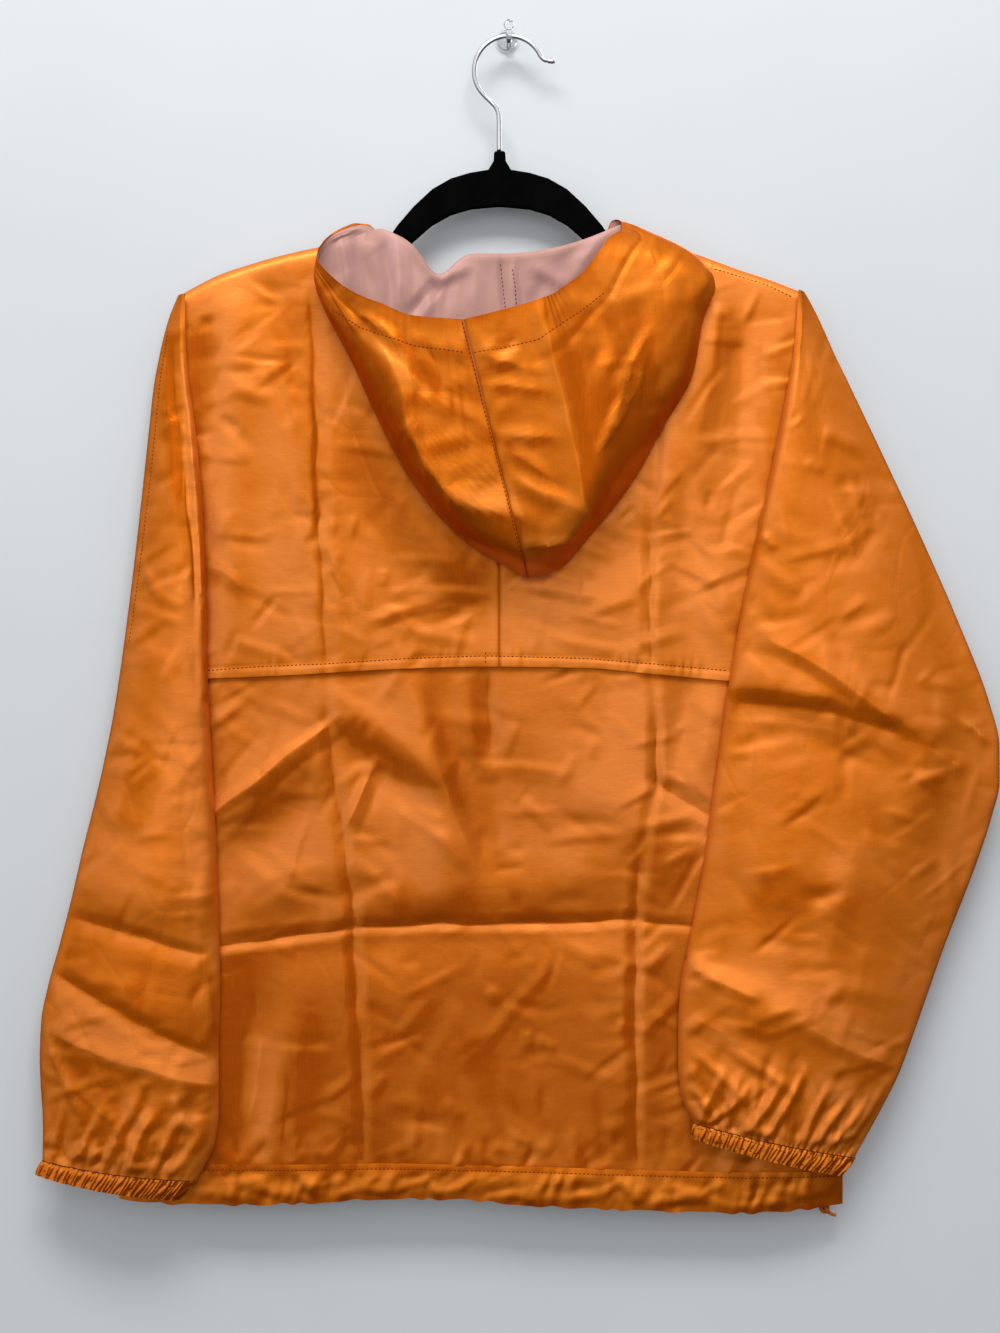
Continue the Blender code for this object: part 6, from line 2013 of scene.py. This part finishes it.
def tube_piece(name, points, radii, material, sides=16):
    """A round wire of varying radius along the points, with closed ends."""
    form = bmesh.new()
    points = [Vector(p) for p in points]
    turns = np.linspace(0, 2 * math.pi, sides, endpoint=False)
    rings = []
    side = None
    for k, point in enumerate(points):
        ahead = (points[min(k + 1, len(points) - 1)] - points[max(k - 1, 0)]).normalized()
        if side is None:
            side = ahead.orthogonal().normalized()
        side = (side - ahead * side.dot(ahead)).normalized()
        other = ahead.cross(side)
        rings.append([
            form.verts.new(point + (side * math.cos(a) + other * math.sin(a)) * radii[k]) for a in turns
        ])
    for first, second in zip(rings, rings[1:]):
        for k in range(sides):
            form.faces.new((first[k], first[(k + 1) % sides], second[(k + 1) % sides], second[k]))
    form.faces.new(rings[0][::-1])
    form.faces.new(rings[-1])
    bmesh.ops.recalc_face_normals(form, faces=form.faces)
    mesh = bpy.data.meshes.new(name)
    form.to_mesh(mesh)
    form.free()
    mesh.materials.append(material)
    mesh.shade_smooth()
    obj = new_object(name, mesh)
    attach(obj, "root")
    return obj


def smooth_path(points, count):
    """count points along the smooth curve through the given points."""
    stations = np.arange(len(points), dtype=float)
    at = np.linspace(0, len(points) - 1, count)
    return list(zip(*(smooth(at, stations, axis) for axis in zip(*points))))


HOOK_POINTS = 160
HOOK_TURN_POINTS = 17
# The ball on the hook's tip takes up the last points, after a thinner neck.
BALL_POINTS = 10
NECK_POINTS = 2


def make_wire():
    """The chrome hook, with the small ball on its tip."""
    cx, cz = HOOK_CENTRE
    turns = np.radians(np.linspace(*HOOK_TURN, HOOK_TURN_POINTS))
    round_part = [(cx + HOOK_RADIUS * math.cos(a), cz + HOOK_RADIUS * math.sin(a)) for a in turns]
    flat = list(HOOK_SHANK) + round_part + list(HOOK_TIP)
    points = smooth_path([(x, -HANGER_DEPTH, z) for x, z in flat], HOOK_POINTS)
    radii = [WIRE_RADIUS * 0.97] * (HOOK_POINTS - BALL_POINTS - NECK_POINTS)
    radii += [WIRE_RADIUS * 0.78] * NECK_POINTS
    for k in reversed(range(BALL_POINTS)):
        share = min(1.0, (k + 0.4) / 4.5)
        radii.append(WIRE_RADIUS * (0.35 + 0.75 * math.sin(share * math.pi / 2)))
    return tube_piece("wire_hook", points, radii, chrome_material())


# ---------------------------------------------------------------- stitching

# Lines along the depth start this far in front of the wall.
RAY_START = -0.30


def on_surface(names, x, z):
    """The first surface that a line from the room meets, with its normal turned to the viewer."""
    start = Vector((x, RAY_START, z))
    way = Vector((0, 1, 0))
    best = None
    for name in names:
        tree, lift = SURFACES[name]
        point, normal, _, distance = tree.ray_cast(start, way)
        if point is not None and (best is None or distance < best[3]):
            best = (point, normal if normal.dot(way) < 0 else -normal, lift, distance)
    if best is None:
        return None
    point, normal, lift, _ = best
    return point + normal * lift, normal


# Stitches: their pitch, length and radius, where along them they are thickest, and the four ways round them.
STITCH_PITCH = 0.0031
STITCH_LENGTH = 0.0023
STITCH_RADIUS = 0.00040
THICKEST = (0.2, 0.8)
AROUND = ((1, 0), (0, 1), (-1, 0), (0, -1))


def stitches(name, line, surfaces, material):
    """A row of machine stitches laid on the surfaces along a line of (x, z)."""
    points, faces = [], []
    line = np.array(line, float)
    runs = np.concatenate([[0.0], np.cumsum(np.linalg.norm(np.diff(line, axis=0), axis=1))])
    for start in np.arange(0.0, runs[-1] - STITCH_LENGTH, STITCH_PITCH):
        ends = []
        for at in (start, start + STITCH_LENGTH):
            x, z = np.interp(at, runs, line[:, 0]), np.interp(at, runs, line[:, 1])
            ends.append(on_surface(surfaces, float(x), float(z)))
        if None in ends:
            continue
        (a, up), (b, _) = ends
        if (b - a).length > 2 * STITCH_LENGTH:
            continue
        side = (b - a).normalized().cross(up).normalized()
        base = len(points)
        points.append(tuple(a - up * STITCH_RADIUS * 0.5))
        for share in THICKEST:
            middle = a + (b - a) * share
            points += [tuple(middle + (side * cos + up * sin) * STITCH_RADIUS) for cos, sin in AROUND]
        points.append(tuple(b - up * STITCH_RADIUS * 0.5))
        for k in range(4):
            j = (k + 1) % 4
            faces.append((base, base + 1 + j, base + 1 + k))
            faces.append((base + 1 + k, base + 1 + j, base + 5 + j, base + 5 + k))
            faces.append((base + 9, base + 5 + k, base + 5 + j))
    mesh = bpy.data.meshes.new(name)
    mesh.from_pydata(points, [], faces)
    mesh.materials.append(material)
    mesh.shade_smooth()
    obj = new_object(name, mesh)
    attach(obj, "root")
    return obj


# ---------------------------------------------------------------- camera, light and wall

# The light from all round: its brighter side, its colour there and opposite, and its strength.
ROOM_BRIGHT_WAY = (-0.20, -0.60, 0.76)
ROOM_BRIGHT = (1.42, 1.46, 1.50)
ROOM_DARK = (0.14, 0.14, 0.14)
ROOM_STRENGTH = 0.60

# Lamps: name, place, the point they are turned to, size, power, colour.
LIGHTS = (
    ("key", (-0.12, -1.25, 1.25), (0.0, 0.0, -0.40), (1.5, 0.6), 40, (1.0, 0.985, 0.96)),
    ("fill", (0.3, -2.4, 0.0), (0.0, 0.0, -0.50), (1.2, 1.2), 5, (0.95, 0.97, 1.0)),
    ("behind", (0.8, 2.0, 0.9), (0.0, 0.0, -0.50), (1.2, 1.2), 22, (1.0, 1.0, 1.0)),
)

# The wall: how far it reaches each way, where its face lies, and its two greys.
WALL_REACH = 4
WALL_Y = 0.0005
WALL_DARK = (0.550, 0.578, 0.598)
WALL_BRIGHT = (0.570, 0.596, 0.616)

SENSOR_WIDTH = 36.0
CLIP_END = 50.0


def area_light(name, where, target, size, power, colour):
    data = bpy.data.lights.new(name, "AREA")
    data.shape = "RECTANGLE"
    data.size, data.size_y = size
    data.energy = power
    data.color = colour
    light = new_object(name, data)
    light.location = where
    light.rotation_mode = "QUATERNION"
    light.rotation_quaternion = (Vector(target) - Vector(where)).to_track_quat("-Z", "Y")


def wall_material():
    """Pale painted wall, seen from the room side only."""
    material, tree, shader = principled("wall_paint")
    cloud = noise(tree, place(tree, PLAIN), 5.0, 3.0)
    shade = mixed(tree, ranged(tree, cloud, 0.3, 0.7), WALL_DARK, WALL_BRIGHT)
    feed(tree, shader, {"Base Color": shade, "Roughness": 0.9})
    clear = new_node(tree, "BsdfTransparent", {})
    behind = new_node(tree, "NewGeometry", {}, "Backfacing")
    mix = new_node(tree, "MixShader", {"Fac": behind, 1: shader.outputs["BSDF"], 2: clear})
    output = [n for n in tree.nodes if n.type == "OUTPUT_MATERIAL"][0]
    feed(tree, output, {"Surface": mix})
    return material


def make_wall():
    """A wall just behind the garment, which neither lights it nor darkens it."""
    far, y = WALL_REACH, WALL_Y
    mesh = bpy.data.meshes.new("wall")
    mesh.from_pydata([(-far, y, -far), (far, y, -far), (far, y, far), (-far, y, far)], [], [(0, 1, 2, 3)])
    mesh.materials.append(wall_material())
    obj = new_object("wall", mesh)
    obj.visible_diffuse = False
    obj.visible_glossy = False
    obj.visible_shadow = False


def make_room():
    """The light from all round: brighter towards the upper left of the room."""
    world = bpy.context.scene.world or bpy.data.worlds.new("room")
    bpy.context.scene.world = world
    world.use_nodes = True
    tree = world.node_tree
    where = new_node(tree, "TexCoord", {}, "Generated")
    up_left = {0: where, 1: ROOM_BRIGHT_WAY}
    facing_it = new_node(tree, "VectorMath", up_left, "Value", operation="DOT_PRODUCT")
    shade = mixed(tree, ranged(tree, facing_it, -0.25, 0.75), ROOM_DARK, ROOM_BRIGHT)
    feed(tree, tree.nodes["Background"], {"Color": shade, "Strength": ROOM_STRENGTH})


def make_stage():
    make_wall()
    make_room()
    for name, where, target, size, power, colour in LIGHTS:
        area_light(name, where, target, size, power, colour)
    scene = bpy.context.scene
    scene.view_settings.view_transform = "Standard"
    camera = bpy.data.cameras.new("camera")
    camera.lens = VIEW_LENS
    camera.sensor_width = SENSOR_WIDTH
    camera.clip_end = CLIP_END
    holder = new_object("camera", camera)
    holder.location = (VIEW_X_MM / 1000, -(HANGER_MM + VIEW_MM) / 1000, VIEW_Z_MM / 1000)
    holder.rotation_euler = (math.pi / 2, 0, 0)
    scene.camera = holder


# ---------------------------------------------------------------- the whole object

# Rows of stitching: name, pieces under it, thread, then the row's path in pixels.
STITCH_ROWS = (
    rows_seen(BACK_MM, (
        ("yoke_hem", ("cloth_yoke_left", "cloth_yoke_right"), "dark", 207, 671, 260, 667, 326, 664, 407,
         659, 487, 656, 587, 658, 654, 664, 728, 671),
        ("yoke_seam", ("cloth_yoke_left", "cloth_yoke_right"), "dark", 486, 652, 486, 664),
        ("shoulder_right", ("cloth_yoke_right",), "dark", 716, 268, 742, 275, 768, 284, 796, 297),
    ))
    + rows_seen(RIM_MM, (
        ("hood_casing_left", ("cloth_hood_left",), "dark", 331, 305, 360, 327, 391, 339, 416, 348, 464,
         354),
        ("hood_casing_right", ("cloth_hood_right",), "dark", 474, 354, 495, 352, 539, 342, 586, 308, 607,
         290),
    ))
    + rows_seen(LINING_MM, (
        ("lining_seam_1", ("cloth_hood_left", "cloth_hood_right"), "pink", 501, 266, 503, 290, 506, 313),
        ("lining_seam_2", ("cloth_hood_left", "cloth_hood_right"), "pink", 513, 272, 515, 290, 517, 309),
    ))
    + rows_seen(SLEEVE_MM, (
        ("sleeve_seam_left", ("cloth_sleeve_left",), "dark", 164, 326, 157, 370, 148, 460, 138, 555, 126,
         645),
        ("cuff_left_1", ("cloth_cuff_left",), "dark", 44, 1168, 76, 1169, 109, 1171, 145, 1178, 178,
         1188),
        ("cuff_left_2", ("cloth_cuff_left",), "dark", 40, 1175, 76, 1179, 109, 1183, 145, 1190, 172,
         1198),
        ("cuff_right_1", ("cloth_cuff_right",), "dark", 697, 1130, 735, 1137, 775, 1149, 812, 1158, 844,
         1165),
        ("cuff_right_2", ("cloth_cuff_right",), "dark", 696, 1137, 735, 1146, 775, 1158, 812, 1168, 842,
         1173),
    ))
)

# The hem's row lies this far below the casing's top, and the hood's beside its middle seam.
HEM_STITCH_POINTS = 40
HEM_STITCH_DROP = 0.0030
HOOD_STITCH_OFF = 0.0012


def sew():
    """Lays all rows of stitching. Returns them by the piece that they hold."""
    threads = {"dark": SHADED_THREAD, "pink": PINK_SEAM}
    rows = {}
    for name, pieces, thread, *line in STITCH_ROWS:
        row = stitches("stitches_" + name, line, pieces, threads[thread])
        rows.setdefault(pieces[0], []).append(row)
    across = np.linspace(HEM[0][0], HEM[-1][0], HEM_STITCH_POINTS)
    line = [(x, float(hem_z(x, "top")) - HEM_STITCH_DROP) for x in across]
    rows["cloth_hem_back"] = [stitches("stitches_hem", line, ("cloth_hem_back",), SHADED_THREAD)]
    seam = hood_grid("left")[-1][len(HOOD_ROLL) + HOOD_FAR + 1 :]
    line = [(p[0] - HOOD_STITCH_OFF, p[1]) for p in seam]
    rows["cloth_hood_left"].append(stitches("stitches_hood_seam", line, ("cloth_hood_left",), SHADED_THREAD))
    return rows


def main():
    make_stage()
    for side in ("left", "right"):
        make_yoke(side)
        make_sleeve(side)
        make_cuff(side)
        make_hood(side)
    make_lower_back()
    make_front()
    for face in ("back", "front"):
        make_hem(face)
    rows = sew()
    wire = make_wire()
    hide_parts("hanger_hook")
    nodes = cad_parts
    knot = nodes["hem_cord_knot"]
    for node, material in (
        (nodes["hanger_body"], flock_material()),
        (nodes["wall_hook"], clear_material()),
        (knot, thread_material("orange_cord", (0.46, 0.11, 0.015))),
    ):
        node.data.materials.clear()
        node.data.materials.append(material)
    rows["cloth_hem_front"] = [knot]


main()
